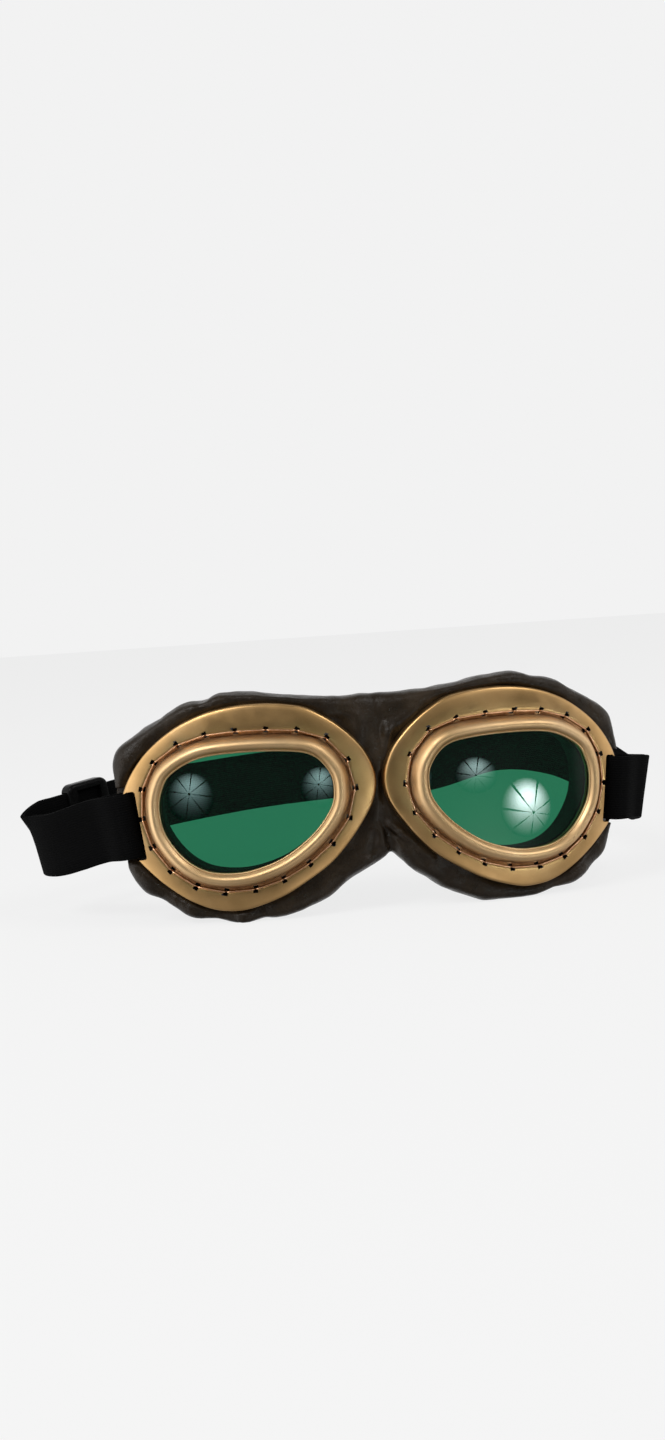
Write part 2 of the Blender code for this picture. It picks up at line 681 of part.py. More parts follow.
def stretch(route, first, last):
    """The stations of the band from one index to another, half a clearance short where it is divided."""
    stations = []
    for index, (point, (along, facing, width)) in enumerate(zip(route, band_axes(route))):
        if index == first and first > 0:
            point = point + along * CLEARANCE / 2
        if index == last and last < len(route) - 1:
            point = point - along * CLEARANCE / 2
        if first <= index <= last:
            stations.append((point, facing, width))
    return stations


def build_cup(cup, looks, cutters):
    frame = frame_solid(cup, looks["gold"])
    cut(frame, slot_cutter(cup, cutters), "strap slot")
    cut(frame, lacing_cutter(cup, cutters), "lacing slots")
    bezel_solid(cup, looks["gold"])
    lens_solid(cup, looks["glass"])
    gasket_front = GASKET_BACK + GASKET_THICKNESS
    flat_ring(cup, "lens_gasket", GASKET_INSET, LENS_OVERLAP, GASKET_BACK, gasket_front, looks["rubber"])
    lacing_wire(cup, looks["copper"])
    flat_ring(cup, "backing_ring", BACKING_INSET, BACKING_OUTER, PAD_SEAT + CLEARANCE, PAD_FRONT, looks["steel"])
    liner_solid(cup, looks["black"])
    pad = pad_solid(cup, looks["leather"])
    foam_solid(cup, looks["foam"])
    cut(pad, channel_cutter(cup, cutters), "strap channel")
    return pad


def settle(root, parts):
    """Moves everything so that the origin is on the floor, in the middle of the space taken up."""
    bpy.context.view_layer.update()
    graph = bpy.context.evaluated_depsgraph_get()
    corners = []
    for thing in parts.objects:
        if thing.type == "EMPTY":
            continue
        seen = thing.evaluated_get(graph)
        mesh = seen.to_mesh()
        corners += [seen.matrix_world @ vertex.co for vertex in mesh.vertices]
        seen.to_mesh_clear()
    low = [min(corner[axis] for corner in corners) for axis in range(3)]
    high = [max(corner[axis] for corner in corners) for axis in range(3)]
    root.location = (-(low[0] + high[0]) / 2, -(low[1] + high[1]) / 2, -low[2])


def build():
    clear_scene()
    parts = collection("pilot_goggles")
    cutters = collection("cutters")
    looks = {
        "gold": material("satin gold", (0.47, 0.29, 0.12), 0.38, 1.0),
        "copper": material("reddish wire", (0.33, 0.12, 0.05), 0.45, 1.0),
        "steel": material("plated steel", (0.40, 0.38, 0.34), 0.40, 1.0),
        "glass": material("green glass", (0.01, 0.16, 0.09), 0.05),
        "rubber": material("black rubber", (0.02, 0.02, 0.02), 0.70),
        "black": material("black lining", (0.02, 0.02, 0.02), 0.85),
        "leather": material("dark brown leather", (0.035, 0.022, 0.015), 0.50),
        "foam": material("grey foam", (0.06, 0.06, 0.06), 0.95),
        "elastic": material("black elastic", (0.006, 0.006, 0.006), 0.90),
        "plastic": material("black plastic", (0.01, 0.01, 0.01), 0.35),
    }
    root = bpy.data.objects.new("goggles", None)
    parts.objects.link(root)
    fold = bpy.data.objects.new("nose_fold", None)
    fold.location = (0, FOLD_AXIS_DEPTH, 0)
    fold.parent = root
    parts.objects.link(fold)
    left = Cup(-1, "left", root, parts)
    right = Cup(1, "right", fold, parts)
    pads = [build_cup(cup, looks, cutters) for cup in (left, right)]
    lowest = min(vertex.co.z for vertex in pads[0].data.vertices)
    floor = floor_cutter(lowest, root, cutters)
    for pad, cup in zip(pads, (left, right)):
        cut(pad, floor, "resting flat")
        cut(pad, nose_cutter(cup.side, root, cutters), "nose wall")
    bridge_solid(root, parts, looks["leather"])
    bar = (-(SLOT_OUT + SLOT_WIDTH / 2 + BAR_WIDTH / 2), -SLOT_DROP, BAR_HEIGHT)
    route, ends, slider_middle, aim = strap_route(left.world(*bar), right.world(*bar))
    loop = loop_solid("strap_loop_left", stretch(route, 0, ends[0]), root, parts, looks["elastic"])
    right_end = stretch(route, ends[3], len(route) - 1)
    loop_solid("strap_loop_right", right_end[::-1], fold, parts, looks["elastic"])
    for index, label in enumerate(("left", "middle", "right")):
        stations = stretch(route, ends[index], ends[index + 1])
        holder = fold if label == "right" else root
        band_solid(f"rear_band_{label}", stations, holder, parts, looks["elastic"])
    slider_solid(slider_middle, aim, loop, parts, cutters, looks["plastic"])
    settle(root, parts)


build()
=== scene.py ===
"""Looks of the pilot goggles: metal eyecups, green lenses, a padded leather mask and an elastic strap."""

from functools import partial
from math import atan, atan2, cos, hypot, pi, radians, sin, sqrt, tau

import bmesh
import bpy
import numpy as np
from mathutils import Matrix, Vector, noise
from mathutils.bvhtree import BVHTree


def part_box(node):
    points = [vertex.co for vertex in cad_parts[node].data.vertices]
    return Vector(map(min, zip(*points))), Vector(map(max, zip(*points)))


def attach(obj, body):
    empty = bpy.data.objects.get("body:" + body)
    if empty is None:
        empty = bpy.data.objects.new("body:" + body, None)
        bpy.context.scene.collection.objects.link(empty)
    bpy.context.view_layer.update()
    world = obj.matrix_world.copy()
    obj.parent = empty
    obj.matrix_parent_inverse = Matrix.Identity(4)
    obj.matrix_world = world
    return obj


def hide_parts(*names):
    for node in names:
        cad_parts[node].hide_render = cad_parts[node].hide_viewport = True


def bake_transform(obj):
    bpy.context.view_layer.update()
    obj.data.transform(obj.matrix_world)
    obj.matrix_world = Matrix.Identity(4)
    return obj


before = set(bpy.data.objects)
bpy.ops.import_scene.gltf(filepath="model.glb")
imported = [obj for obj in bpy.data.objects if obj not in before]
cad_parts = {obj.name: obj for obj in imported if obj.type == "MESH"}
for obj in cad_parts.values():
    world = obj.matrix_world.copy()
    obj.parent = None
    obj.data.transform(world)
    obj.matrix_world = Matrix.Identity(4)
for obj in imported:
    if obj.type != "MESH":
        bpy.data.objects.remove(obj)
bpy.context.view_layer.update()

NAMES = {-1: "left", 1: "right"}


def scaled(half_width, half_height, shares):
    return [(across * half_width, up * half_height) for across, up in shares]


# Sizes that the looks share with the frame, in metres
CUP_HALF_SPACING = 0.0502
CUP_YAW = radians(10)
CLEARANCE = 0.0003
BEND_RADIUS = 0.16
RISE_RADIUS = 0.45
OPENING = scaled(0.033, 0.0226, [
    (-0.99, 0.09), (-0.95, 0.41), (-0.83, 0.68), (-0.51, 0.92), (-0.07, 0.99), (0.47, 0.97),
    (0.78, 0.87), (0.96, 0.58), (1.0, 0.28), (0.95, -0.03), (0.74, -0.42), (0.42, -0.76),
    (0.1, -0.94), (-0.19, -1.0), (-0.5, -0.94), (-0.75, -0.71), (-0.94, -0.31),
])
FLANGE = scaled(0.0488, 0.0385, [
    (-0.995, 0.05), (-0.955, 0.27), (-0.845, 0.5), (-0.687, 0.7), (-0.464, 0.885), (-0.203, 1.0),
    (0.1, 1.04), (0.432, 0.995), (0.618, 0.888), (0.777, 0.733), (0.902, 0.557), (0.973, 0.379),
    (1.0, 0.204), (0.972, 0.02), (0.896, -0.155), (0.771, -0.37), (0.627, -0.56), (0.436, -0.725),
    (0.225, -0.872), (-0.02, -0.972), (-0.149, -0.99), (-0.321, -0.96), (-0.5, -0.865),
    (-0.677, -0.71), (-0.81, -0.56), (-0.9, -0.43), (-0.967, -0.25),
])
SHEET = 0.0012
SHELF_INSET = 0.0009
GROOVE_OUTER = 0.0074
GROOVE_WALL = GROOVE_OUTER + 0.0003
GROOVE_ROUNDING = 0.0002
GROOVE_MARGIN = 0.0001
WALL_LEAN = 0.0003
WALL_SHARE = 0.8
UNDER_SHARE = 0.94
CROWN = 0.004
FLANGE_PROFILE = [
    (0.0, 0.86), (0.015, 0.965), (0.05, 0.995), (0.15, 1.0), (0.3, 1.0), (0.46, 0.99), (0.62, 0.97),
    (0.78, 0.935), (0.88, 0.9), (0.935, 0.855), (0.965, 0.77), (0.987, 0.6), (1.0, 0.34), (0.997, 0.06),
]
RIM_SHARE = 0.96
SLOT_OUT = 0.0422
SLOT_WIDTH = 0.0046
SLOT_LENGTH = 0.0264
SLOT_DROP = 0.004
SLOT_LEAN = radians(6.5)
SLOT_CORNER = 0.0011
BAR_WIDTH = 0.004
BAR_HEIGHT = 0.0019
BAR_OUT = SLOT_OUT + SLOT_WIDTH / 2 + BAR_WIDTH / 2
LACING_SLOTS = 20
LACING_SLOT = (0.0024, 0.01, 0.0019)
LACING_OUT = 0.0079
LACING_START = radians(73)
SLOT_MARGIN = 0.00003
WIRE_RADIUS = 0.00034
WIRE_SHARE = 0.86
WIRE_DIP = 0.0014
DIP_SHARE = 0.1
WIRE_SHARES = (0.0, 0.035, 0.075, 0.12, 0.2, 0.35, 0.5, 0.65, 0.8, 0.88, 0.925, 0.965)
BEZEL_WIDTH = 0.0054
BEZEL_RISE = 0.0028
BEZEL_PROFILE = [
    (0.0, 0.24), (0.025, 0.36), (0.07, 0.4), (0.1, 0.39), (0.118, 0.35), (0.135, 0.38), (0.19, 0.55),
    (0.27, 0.75), (0.37, 0.91), (0.47, 0.98), (0.57, 0.98), (0.67, 0.91), (0.77, 0.77), (0.86, 0.57), (0.94, 0.29),
    (1.01, -0.08), (1.07, -0.42), (1.11, -0.76), (1.125, -1.05),
]
BEZEL_FOOT = 1.12
LENS_THICKNESS = 0.0018
LENS_OVERLAP = 0.0042
LENS_RINGS = 14
GASKET_THICKNESS = 0.0011
BACKING_THICKNESS = 0.001
LINER_WALL = 0.0012
LINER_INSET = 0.001
LINER_DEPTH_SHARE = 0.8
PAD = scaled(0.0519, 0.0423, [
    (-1.0, 0.02), (-0.985, 0.27), (-0.955, 0.47), (-0.89, 0.62), (-0.76, 0.75), (-0.59, 0.86),
    (-0.39, 0.965), (-0.25, 0.995), (-0.12, 1.04), (0.09, 1.035), (0.39, 0.985), (0.7, 0.955),
    (0.97, 0.93), (1.0, 0.6), (1.0, 0.2), (0.99, -0.2), (0.96, -0.44), (0.865, -0.56), (0.71, -0.69),
    (0.53, -0.855), (0.31, -0.965), (0.05, -1.02), (-0.19, -1.01), (-0.4, -0.965), (-0.58, -0.85),
    (-0.77, -0.72), (-0.85, -0.555), (-0.95, -0.29),
])
PAD_DEPTH = 0.0145
PAD_TEMPLE_DEPTH = 0.004
PAD_INNER_INSET = 0.0026
PAD_BULGE = 0.0016
PAD_EDGE_WIDTH = 0.004
PAD_STEP = 0.0003
SEAM_UNDER = 0.0012
SEAM_INSET = 0.0006
PAD_FRONT_SHARES = [(0.0, 0.0), (0.14, 0.02), (0.3, 0.5), (0.46, 0.86), (0.62, 1.0), (0.76, 0.8), (0.88, 0.3)]
PAD_BACK_SHARES = [
    (0.965, 0.06), (1.0, 0.2), (1.0, 0.36), (1.0, 0.54), (0.99, 0.7), (0.96, 0.82), (0.9, 0.91), (0.8, 0.96),
    (0.66, 0.99), (0.5, 1.0), (0.34, 0.99), (0.2, 0.97), (0.08, 0.92), (0.0, 0.82),
]
FOAM_THICKNESS = 0.004
FOAM_NOSE_GAP = 0.01
FOAM_SHARES = [
    (0.15, 0.0), (0.7, 0.0), (0.77, 0.18), (0.785, 0.42), (0.76, 0.7), (0.69, 0.92), (0.6, 1.0),
    (0.45, 1.0), (0.32, 0.99), (0.2, 0.84), (0.12, 0.5), (0.11, 0.18),
]
STRAP_WIDTH = 0.025
STRAP_THICKNESS = 0.0013
LAYER_GAP = 0.0004
WRAP_RADIUS = 0.0039
SPREAD_LENGTH = 0.011
REACH_LEFT = 0.131
REACH_RIGHT = 0.1145
REACH_BACK = 0.13
STRAP_FALL = 0.01
LEFT_LEAN = radians(12.5)
RIGHT_LEAN = radians(12)
LEFT_LEAN_SHARES = [(0.1, 0.3), (0.22, 0.85), (0.34, 1.0), (0.385, 0.5), (0.62, 0.5), (0.9, 0.0)]
RIGHT_LEAN_SHARES = [(0.1, 0.5), (0.22, 0.85), (0.34, 1.0), (0.9, 0.0)]
LEFT_BEND_SHARES = [(-0.817, 0.1545, 0.23), (-0.93, 0.238, 0.75), (-0.988, 0.305, 0.9), (-1.0, 0.349, 0.8)]
SLIDER_SHARES = (-0.8435, 0.469, 0.25)
SLIDER_AIM_SHARES = (-0.7343, 0.549, 0.07)
REAR_SHARES = [
    (-0.5, 0.8, 0.03), (-0.27, 0.945, 0.0), (0.0, 1.0, -0.06), (0.34, 0.985, -0.06), (0.62, 0.91, -0.9),
    (0.82, 0.78, -0.75), (0.95, 0.59, 0.05), (1.0, 0.4, 0.68), (0.99, 0.28, 0.52),
]
RIGHT_BEND_SHARES = [(0.958, 0.168, 0.17)]
MIDDLE_SHARES = (-0.42, 0.94)
STATION = 0.0028 / 3
SLIDER_LENGTH = 0.0195
SLIDER_BAR = 0.004
SLIDER_RAIL = 0.0028
SLIDER_PLATE = 0.0016
SLIDER_FORWARD = 0.006
SLIDER_BACKWARD = 0.018
SLIDER_MARGIN = 0.001
SLIDER_CORNER = 0.0036
SLIDER_ROUNDING = 0.0015
OVERRUN = 0.002
# The hollow that each strap loop leaves in the pad
CHANNEL_SIZE = (0.02, 0.014, STRAP_WIDTH + 0.0044)
CHANNEL_MIDDLE = (0.01, -0.007)
CHANNEL_TILT = radians(16)
# Unevenness, each with a scale and a height in metres, and for the band's edge as a share of its width
FOAM_GRAIN, FOAM_WAVES = (160.0, 0.00025), (60.0, 0.0003)
LEATHER_WAVES, LEATHER_GRAIN, LEATHER_CREASES = (95.0, 0.00045), (230.0, 0.00022), (60.0, 0.0004)
BAND_WAVER = (220.0, 0.006)

# Fineness
AROUND = 208
AROUND_SOFT = 144
VOXEL = 0.0009

GASKET_BACK = SHEET + CLEARANCE
LENS_BACK = GASKET_BACK + GASKET_THICKNESS + CLEARANCE
LENS_FRONT = LENS_BACK + LENS_THICKNESS
BEZEL_BASE = LENS_FRONT + CLEARANCE
PAD_SEAT = -(CLEARANCE + BACKING_THICKNESS + CLEARANCE)

bridge_low, bridge_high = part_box("nose_bridge")
ROOT_DEPTH = 0.0005
ROOT_FALL = 0.0392
ROOT = Vector(((bridge_low.x + bridge_high.x) / 2, bridge_low.y + ROOT_DEPTH, bridge_high.z - ROOT_FALL))

# The camera of the photograph

PICTURE = (665, 1440)
FOCAL = 1584.0
CAMERA_DISTANCE = 0.6
ROOT_PIXEL = (379.5, 800.0)
# Azimuth, elevation and roll in degrees
CAMERA_ANGLES = (-8.5, 8.0, 3.4)


def view_axes():
    """The camera's place, and its right, up and forward directions."""
    azimuth, elevation, roll = (radians(angle) for angle in CAMERA_ANGLES)
    across = cos(elevation)
    forward = Vector((-sin(azimuth) * across, cos(azimuth) * across, -sin(elevation)))
    level = forward.cross(Vector((0, 0, 1))).normalized()
    upright = level.cross(forward)
    right = level * cos(roll) - upright * sin(roll)
    up = level * sin(roll) + upright * cos(roll)
    turn = atan((ROOT_PIXEL[0] - PICTURE[0] / 2) / FOCAL)
    turned = (right * cos(turn) + forward * sin(turn), up, forward * cos(turn) - right * sin(turn))
    return ROOT - forward * CAMERA_DISTANCE, *turned


CAMERA_PLACE, CAMERA_RIGHT, CAMERA_UP, CAMERA_FORWARD = view_axes()


def make_camera():
    data = bpy.data.cameras.new("camera")
    data.sensor_fit = "HORIZONTAL"
    data.sensor_width = 36.0
    data.lens = data.sensor_width * FOCAL / PICTURE[0]
    data.shift_y = (ROOT_PIXEL[1] - PICTURE[1] / 2) / PICTURE[0]
    data.clip_start = 0.01
    data.clip_end = 50.0
    made = linked("camera", data)
    axes = Matrix((CAMERA_RIGHT, CAMERA_UP, -CAMERA_FORWARD)).transposed().to_4x4()
    made.matrix_world = Matrix.Translation(CAMERA_PLACE) @ axes
    bpy.context.scene.camera = made


def pixel_ray(across, down):
    """The direction from the camera through a place in the picture."""
    offset = (across - PICTURE[0] / 2) / FOCAL
    drop = (down - ROOT_PIXEL[1]) / FOCAL
    return (CAMERA_FORWARD + CAMERA_RIGHT * offset - CAMERA_UP * drop).normalized()


# Materials


def feed(tree, socket, value):
    """Links a node or socket to an input, or sets the input to a value."""
    if isinstance(value, bpy.types.Node):
        value = value.outputs[0]
    if isinstance(value, bpy.types.NodeSocket):
        tree.links.new(value, socket)
    elif value is not None:
        socket.default_value = value


def add_node(tree, kind, *inputs, **settings):
    """A node with its settings, and its inputs fed in their order, where None leaves one as it is."""
    made = tree.nodes.new("ShaderNode" + kind)
    for key, value in settings.items():
        setattr(made, key, value)
    for socket, value in zip(made.inputs, inputs):
        feed(tree, socket, value)
    return made


def emptied(owner):
    """Clears the owner's nodes and gives the function that adds nodes to them."""
    owner.use_nodes = True
    owner.node_tree.nodes.clear()
    return partial(add_node, owner.node_tree)


class Look:
    """A material and short ways to add its nodes."""

    def __init__(self, name):
        self.made = bpy.data.materials.new(name)
        self.made.use_nodes = True
        self.tree = self.made.node_tree

    def add(self, kind, *inputs, **settings):
        return add_node(self.tree, kind, *inputs, **settings).outputs

    def place(self):
        return self.add("TexCoord")["Object"]

    def noise(self, scale, detail=4.0, rough=0.55):
        return self.add("TexNoise", self.place(), None, scale, detail, rough)["Fac"]

    def cells(self, scale, feature="DISTANCE_TO_EDGE"):
        return self.add("TexVoronoi", self.place(), None, scale, feature=feature)["Distance"]

    def waves(self, vector, direction, *inputs):
        return self.add("TexWave", vector, *inputs, bands_direction=direction)["Fac"]

    def ramp(self, fac, *stops):
        made = add_node(self.tree, "ValToRGB", fac)
        band = made.color_ramp
        while len(band.elements) < len(stops):
            band.elements.new(0.5)
        for element, (where, colour) in zip(band.elements, stops):
            element.position = where
            element.color = (*colour, 1.0) if isinstance(colour, tuple) else (colour, colour, colour, 1.0)
        return made.outputs["Color"]

    def mix(self, fac, *colours, share=1.0):
        colours = [(*colour, 1.0) if isinstance(colour, tuple) else colour for colour in colours]
        return self.add("MixRGB", self.add("Math", fac, share, operation="MULTIPLY")[0], *colours)[0]

    def bump(self, height, distance, strength, over=None):
        return self.add("Bump", strength, distance, None, height, over)[0]

    def finish(self, colour, roughness, normal=None, **more):
        """Feeds the shader and gives the material."""
        shader = self.tree.nodes["Principled BSDF"]
        for key, value in {"Base_Color": colour, "Roughness": roughness, "Normal": normal, **more}.items():
            feed(self.tree, shader.inputs[key.replace("_", " ")], value)
        return self.made


def gold_look(name, dark, plain, light, rough):
    look = Look(name)
    clouds = look.noise(42.0, 5.0, 0.6)
    brushed = look.noise(1800.0, 3.0, 0.6)
    colour = look.ramp(clouds, (0.3, dark), (0.52, plain), (0.74, light))
    colour = look.mix(brushed, colour, dark, share=0.22)
    specks = look.ramp(look.noise(1500.0, 2.0), (0.66, 0.0), (0.74, 1.0))
    colour = look.mix(specks, colour, light, share=0.35)
    roughness = look.ramp(look.noise(160.0, 5.0), (0.3, rough - 0.06), (0.7, rough + 0.07))
    grain = look.bump(brushed, 0.000005, 0.15)
    dents = look.bump(look.noise(45.0, 2.0), 0.00002, 0.4, over=grain)
    return look.finish(colour, roughness, dents, Metallic=1.0)


def leather_look():
    look = Look("dark brown leather")
    patches = look.noise(70.0, 6.0, 0.6)
    colour = look.ramp(
        patches, (0.28, (0.009, 0.0056, 0.0028)), (0.52, (0.0175, 0.0114, 0.006)), (0.76, (0.035, 0.0235, 0.0138))
    )
    pores = look.cells(1250.0)
    folds = look.ramp(look.noise(210.0, 7.0, 0.62), (0.4, 0.0), (0.55, 1.0))
    worn = look.ramp(look.noise(420.0, 6.0, 0.7), (0.6, 0.0), (0.74, 1.0))
    colour = look.mix(worn, colour, (0.046, 0.031, 0.021), share=0.35)
    fine = look.bump(look.ramp(pores, (0.0, 0.0), (0.2, 1.0)), 0.00005, 0.6)
    creased = look.bump(folds, 0.00016, 0.45, over=fine)
    veins = look.waves(look.place(), "DIAGONAL", 42.0, 9.0, 4.0, 1.6)
    wrinkled = look.bump(look.ramp(veins, (0.0, 0.0), (0.35, 1.0)), 0.00014, 0.3, over=creased)
    roughness = look.ramp(look.noise(300.0, 5.0), (0.3, 0.25), (0.7, 0.36))
    return look.finish(colour, roughness, wrinkled, Specular_IOR_Level=0.17)


def glass_look():
    green = (0.022, 0.19, 0.094, 1.0)
    return Look("green glass").finish(green, 0.0, IOR=1.45, Transmission_Weight=1.0, Specular_IOR_Level=0.09)


def elastic_look():
    """Woven elastic: ribs along it, fine picks across, from the band's own lengths in metres."""
    look = Look("black elastic")
    flat = look.add("UVMap", uv_map="weave")[0]
    ribs, picks = look.waves(flat, "Y", 340.0, 0.3), look.waves(flat, "X", 560.0, 0.8)
    lint = look.ramp(look.noise(1700.0, 3.0), (0.62, 0.0), (0.78, 1.0))
    colour = look.mix(ribs, (0.0006, 0.0006, 0.0007), (0.0016, 0.0016, 0.0017))
    colour = look.mix(lint, colour, (0.01, 0.01, 0.0105), share=0.25)
    across = look.bump(picks, 0.00005, 0.6)
    woven = look.bump(ribs, 0.0001, 0.8, over=across)
    return look.finish(colour, 0.86, woven, Specular_IOR_Level=0.05)


def simple_look(name, dark, light, rough, scale, depth, metallic=0.0, gloss=0.5):
    look = Look(name)
    grain = look.noise(scale, 5.0, 0.6)
    roughness = look.ramp(look.noise(scale * 0.4, 4.0), (0.3, rough - 0.06), (0.7, rough + 0.06))
    colour = look.ramp(grain, (0.3, dark), (0.7, light))
    return look.finish(colour, roughness, look.bump(grain, depth, 0.7), Metallic=metallic, Specular_IOR_Level=gloss)


def foam_look():
    look = Look("grey foam")
    pits_and_painted_shade = look.cells(900.0, "F1")
    # The pits are painted darker: painted shade in the foam's holes
    colour = look.ramp(pits_and_painted_shade, (0.1, (0.016, 0.016, 0.017)), (0.55, (0.08, 0.08, 0.083)))
    return look.finish(colour, 0.95, look.bump(pits_and_painted_shade, 0.0003, 0.9))


LOOKS = {
    "gold": gold_look("satin gold", (0.39, 0.235, 0.092), (0.48, 0.295, 0.124), (0.57, 0.37, 0.175), 0.37),
    # The bezel takes the satin gold made lighter: the extra lightness is painted light
    "bezel": gold_look("bezel gold painted lighter", (0.52, 0.34, 0.165), (0.62, 0.42, 0.22), (0.7, 0.49, 0.28), 0.47),
    "copper": simple_look("copper wire", (0.62, 0.33, 0.17), (0.86, 0.56, 0.36), 0.34, 900.0, 0.00002, 1.0),
    # Painted shade and painted reflection of the gold, laid on the groove of each frame
    "groove": simple_look("groove shadow", (0.37, 0.185, 0.082), (0.64, 0.37, 0.19), 0.44, 500.0, 0.00006, 0.85),
    "glass": glass_look(),
    "leather": leather_look(),
    "elastic": elastic_look(),
    "plastic": simple_look("black plastic", 0.003, 0.006, 0.24, 420.0, 0.00003, gloss=0.05),
    "rubber": simple_look("black rubber", 0.012, 0.022, 0.66, 700.0, 0.00004),
    "lining": simple_look("black lining", (0.01, 0.011, 0.011), (0.022, 0.023, 0.023), 0.88, 1100.0, 0.0001),
    "steel": simple_look("plated steel", (0.34, 0.32, 0.28), (0.46, 0.44, 0.4), 0.4, 600.0, 0.00004, 1.0),
    "foam": foam_look(),
}

# Curves and meshes


def spline(points, closed, spacing=None, steps=None):
    """A smooth curve through the points, with a point about every spacing or a number of steps a span."""
    points = [Vector(point) for point in points]
    count = len(points)
    curve = []
    for index in range(count if closed else count - 1):
        start, end = points[index], points[(index + 1) % count]
        before = points[index - 1] if closed or index else start
        after = points[(index + 2) % count] if closed or index + 2 < count else end
        leave, arrive = (end - before) / 2, (after - start) / 2
        parts = steps or max(1, round((end - start).length / spacing))
        for step in range(parts):
            t = step / parts
            curve.append(
                start * (2 * t**3 - 3 * t**2 + 1)
                + leave * (t**3 - 2 * t**2 + t)
                + end * (3 * t**2 - 2 * t**3)
                + arrive * (t**3 - t**2)
            )
    return curve if closed else curve + [points[-1]]


def ring(outline, offset=0.0, count=AROUND):
    """Points of an outline pushed out by offset, at equal angles about the middle of the lens."""
    curve = spline(outline, True, steps=24)
    pushed = []
    for index, point in enumerate(curve):
        along = curve[(index + 1) % len(curve)] - curve[index - 1]
        pushed.append(point + Vector((-along.y, along.x)).normalized() * offset)
    angles = np.array([atan2(point.y, point.x) for point in pushed])
    lengths = np.array([point.length for point in pushed])
    order = np.argsort(angles)
    targets = np.arange(count) * tau / count
    found = np.interp(targets, angles[order], lengths[order], period=tau)
    return [Vector((length * cos(angle), length * sin(angle))) for angle, length in zip(targets, found)]


soft_ring = partial(ring, count=AROUND_SOFT)


def between(inner, outer, share):
    return [first.lerp(second, share) for first, second in zip(inner, outer)]


def sag(across, up):
    return across**2 / (2 * BEND_RADIUS) + up**2 / (2 * RISE_RADIUS)


def cup_axes(side):
    return Matrix.Translation(ROOT + Vector((side * CUP_HALF_SPACING, 0, 0))) @ Matrix.Rotation(side * CUP_YAW, 4, "Z")


def cup_point(side, across, up, height):
    """A place on a cup: across towards the nose, up, and out from its surface."""
    return cup_axes(side) @ Vector((-side * across, sag(across, up) - height, up))


def cup_facing(side, local):
    """The way a cup's surface faces at a place in its own axes."""
    out = Vector((local.x / BEND_RADIUS, -1.0, local.z / RISE_RADIUS))
    return (cup_axes(side).to_3x3() @ out).normalized()


def linked(name, data):
    made = bpy.data.objects.new(name, data)
    bpy.context.scene.collection.objects.link(made)
    return made


def poured(name, shape):
    """An object with the shape's mesh. The shape is used up."""
    mesh = bpy.data.meshes.new(name)
    shape.to_mesh(mesh)
    shape.free()
    return linked(name, mesh)


def finished(name, shape, look, smooth_angle):
    bmesh.ops.recalc_face_normals(shape, faces=shape.faces)
    made = poured(name, shape)
    made.data.shade_smooth()
    made.data.set_sharp_from_angle(angle=radians(smooth_angle))
    made.data.materials.append(LOOKS[look])
    return made


def wall_between(shape, first, second):
    """The faces between two closed rows of points."""
    corners = zip(first, first[1:] + first[:1], second[1:] + second[:1], second)
    return [shape.faces.new(four) for four in corners]


def join_up(shape, loops):
    """Walls from each loop to the next, and from the last to the first."""
    for first, second in zip(loops, loops[1:] + loops[:1]):
        wall_between(shape, first, second)


def loft_shape(side, sections, shape=None):
    """Closed rings through the sections, each a loop of points with one height or one for each point."""
    shape = shape or bmesh.new()
    loops = []
    for points, heights in sections:
        if isinstance(heights, float):
            heights = [heights] * len(points)
        loops.append([shape.verts.new(cup_point(side, *point, height)) for point, height in zip(points, heights)])
    join_up(shape, loops)
    return shape


def box_shape(*boxes):
    """A shape of boxes, each a size and the axes at its middle."""
    shape = bmesh.new()
    for size, axes in boxes:
        bmesh.ops.create_cube(shape, size=1.0, matrix=axes @ Matrix.Diagonal((*size, 1.0)))
    return shape


def round_off(shape, edges, width, segments):
    bmesh.ops.bevel(shape, geom=edges, offset=width, segments=segments, affect="EDGES", profile=0.5)


def ripple(place, waves):
    return noise.noise(place * waves[0]) * waves[1]


def even_out(made, times, factor):
    step = made.modifiers.new("even", "SMOOTH")
    step.iterations = times
    step.factor = factor


def apply_modifiers(made):
    """Writes what the modifiers make into the mesh, and drops them."""
    bpy.context.view_layer.update()
    graph = bpy.context.evaluated_depsgraph_get()
    mesh = bpy.data.meshes.new_from_object(made.evaluated_get(graph))
    made.modifiers.clear()
    made.data = mesh


def cut_away(made, shape):
    """Cuts a shape out of an object's mesh."""
    bmesh.ops.recalc_face_normals(shape, faces=shape.faces)
    cutter = poured("cutter", shape)
    step = made.modifiers.new("cut", "BOOLEAN")
    step.operation = "DIFFERENCE"
    step.object = cutter
    step.solver = "EXACT"
    apply_modifiers(made)
    bpy.data.objects.remove(cutter)


def ride_cup(made, node, side):
    """Stands for the side's node and moves with its eyecup."""
    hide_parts(f"{node}_{NAMES[side]}")
    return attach(made, f"{NAMES[side]}_eyecup")


# The eyecups


def slot_matrix(side, out):
    """Axes at a place on the flange beside the slot: x across, y to the back, z along the slot."""
    across, up = -out, -SLOT_DROP
    slope = atan(across / BEND_RADIUS)
    place = Matrix.Translation((-side * across, sag(across, up), up))
    lean = Matrix.Rotation(side * SLOT_LEAN, 4, "Y")
    turn = Matrix.Rotation(-side * slope, 4, "Z")
    return cup_axes(side) @ place @ turn @ lean


def lacing_places(middle):
    """Places at equal steps along a line round the opening, the first at a lacing slot."""
    loop = ring(OPENING, middle, AROUND * 3)
    first = round(LACING_START / tau * len(loop))
    loop = loop[first:] + loop[: first + 1]
    travelled = np.concatenate(([0], np.cumsum([(b - a).length for a, b in zip(loop, loop[1:])])))
    wanted = np.arange(LACING_SLOTS) / LACING_SLOTS * travelled[-1]
    across = np.interp(wanted, travelled, [point.x for point in loop])
    up = np.interp(wanted, travelled, [point.y for point in loop])
    return list(zip(across, up))


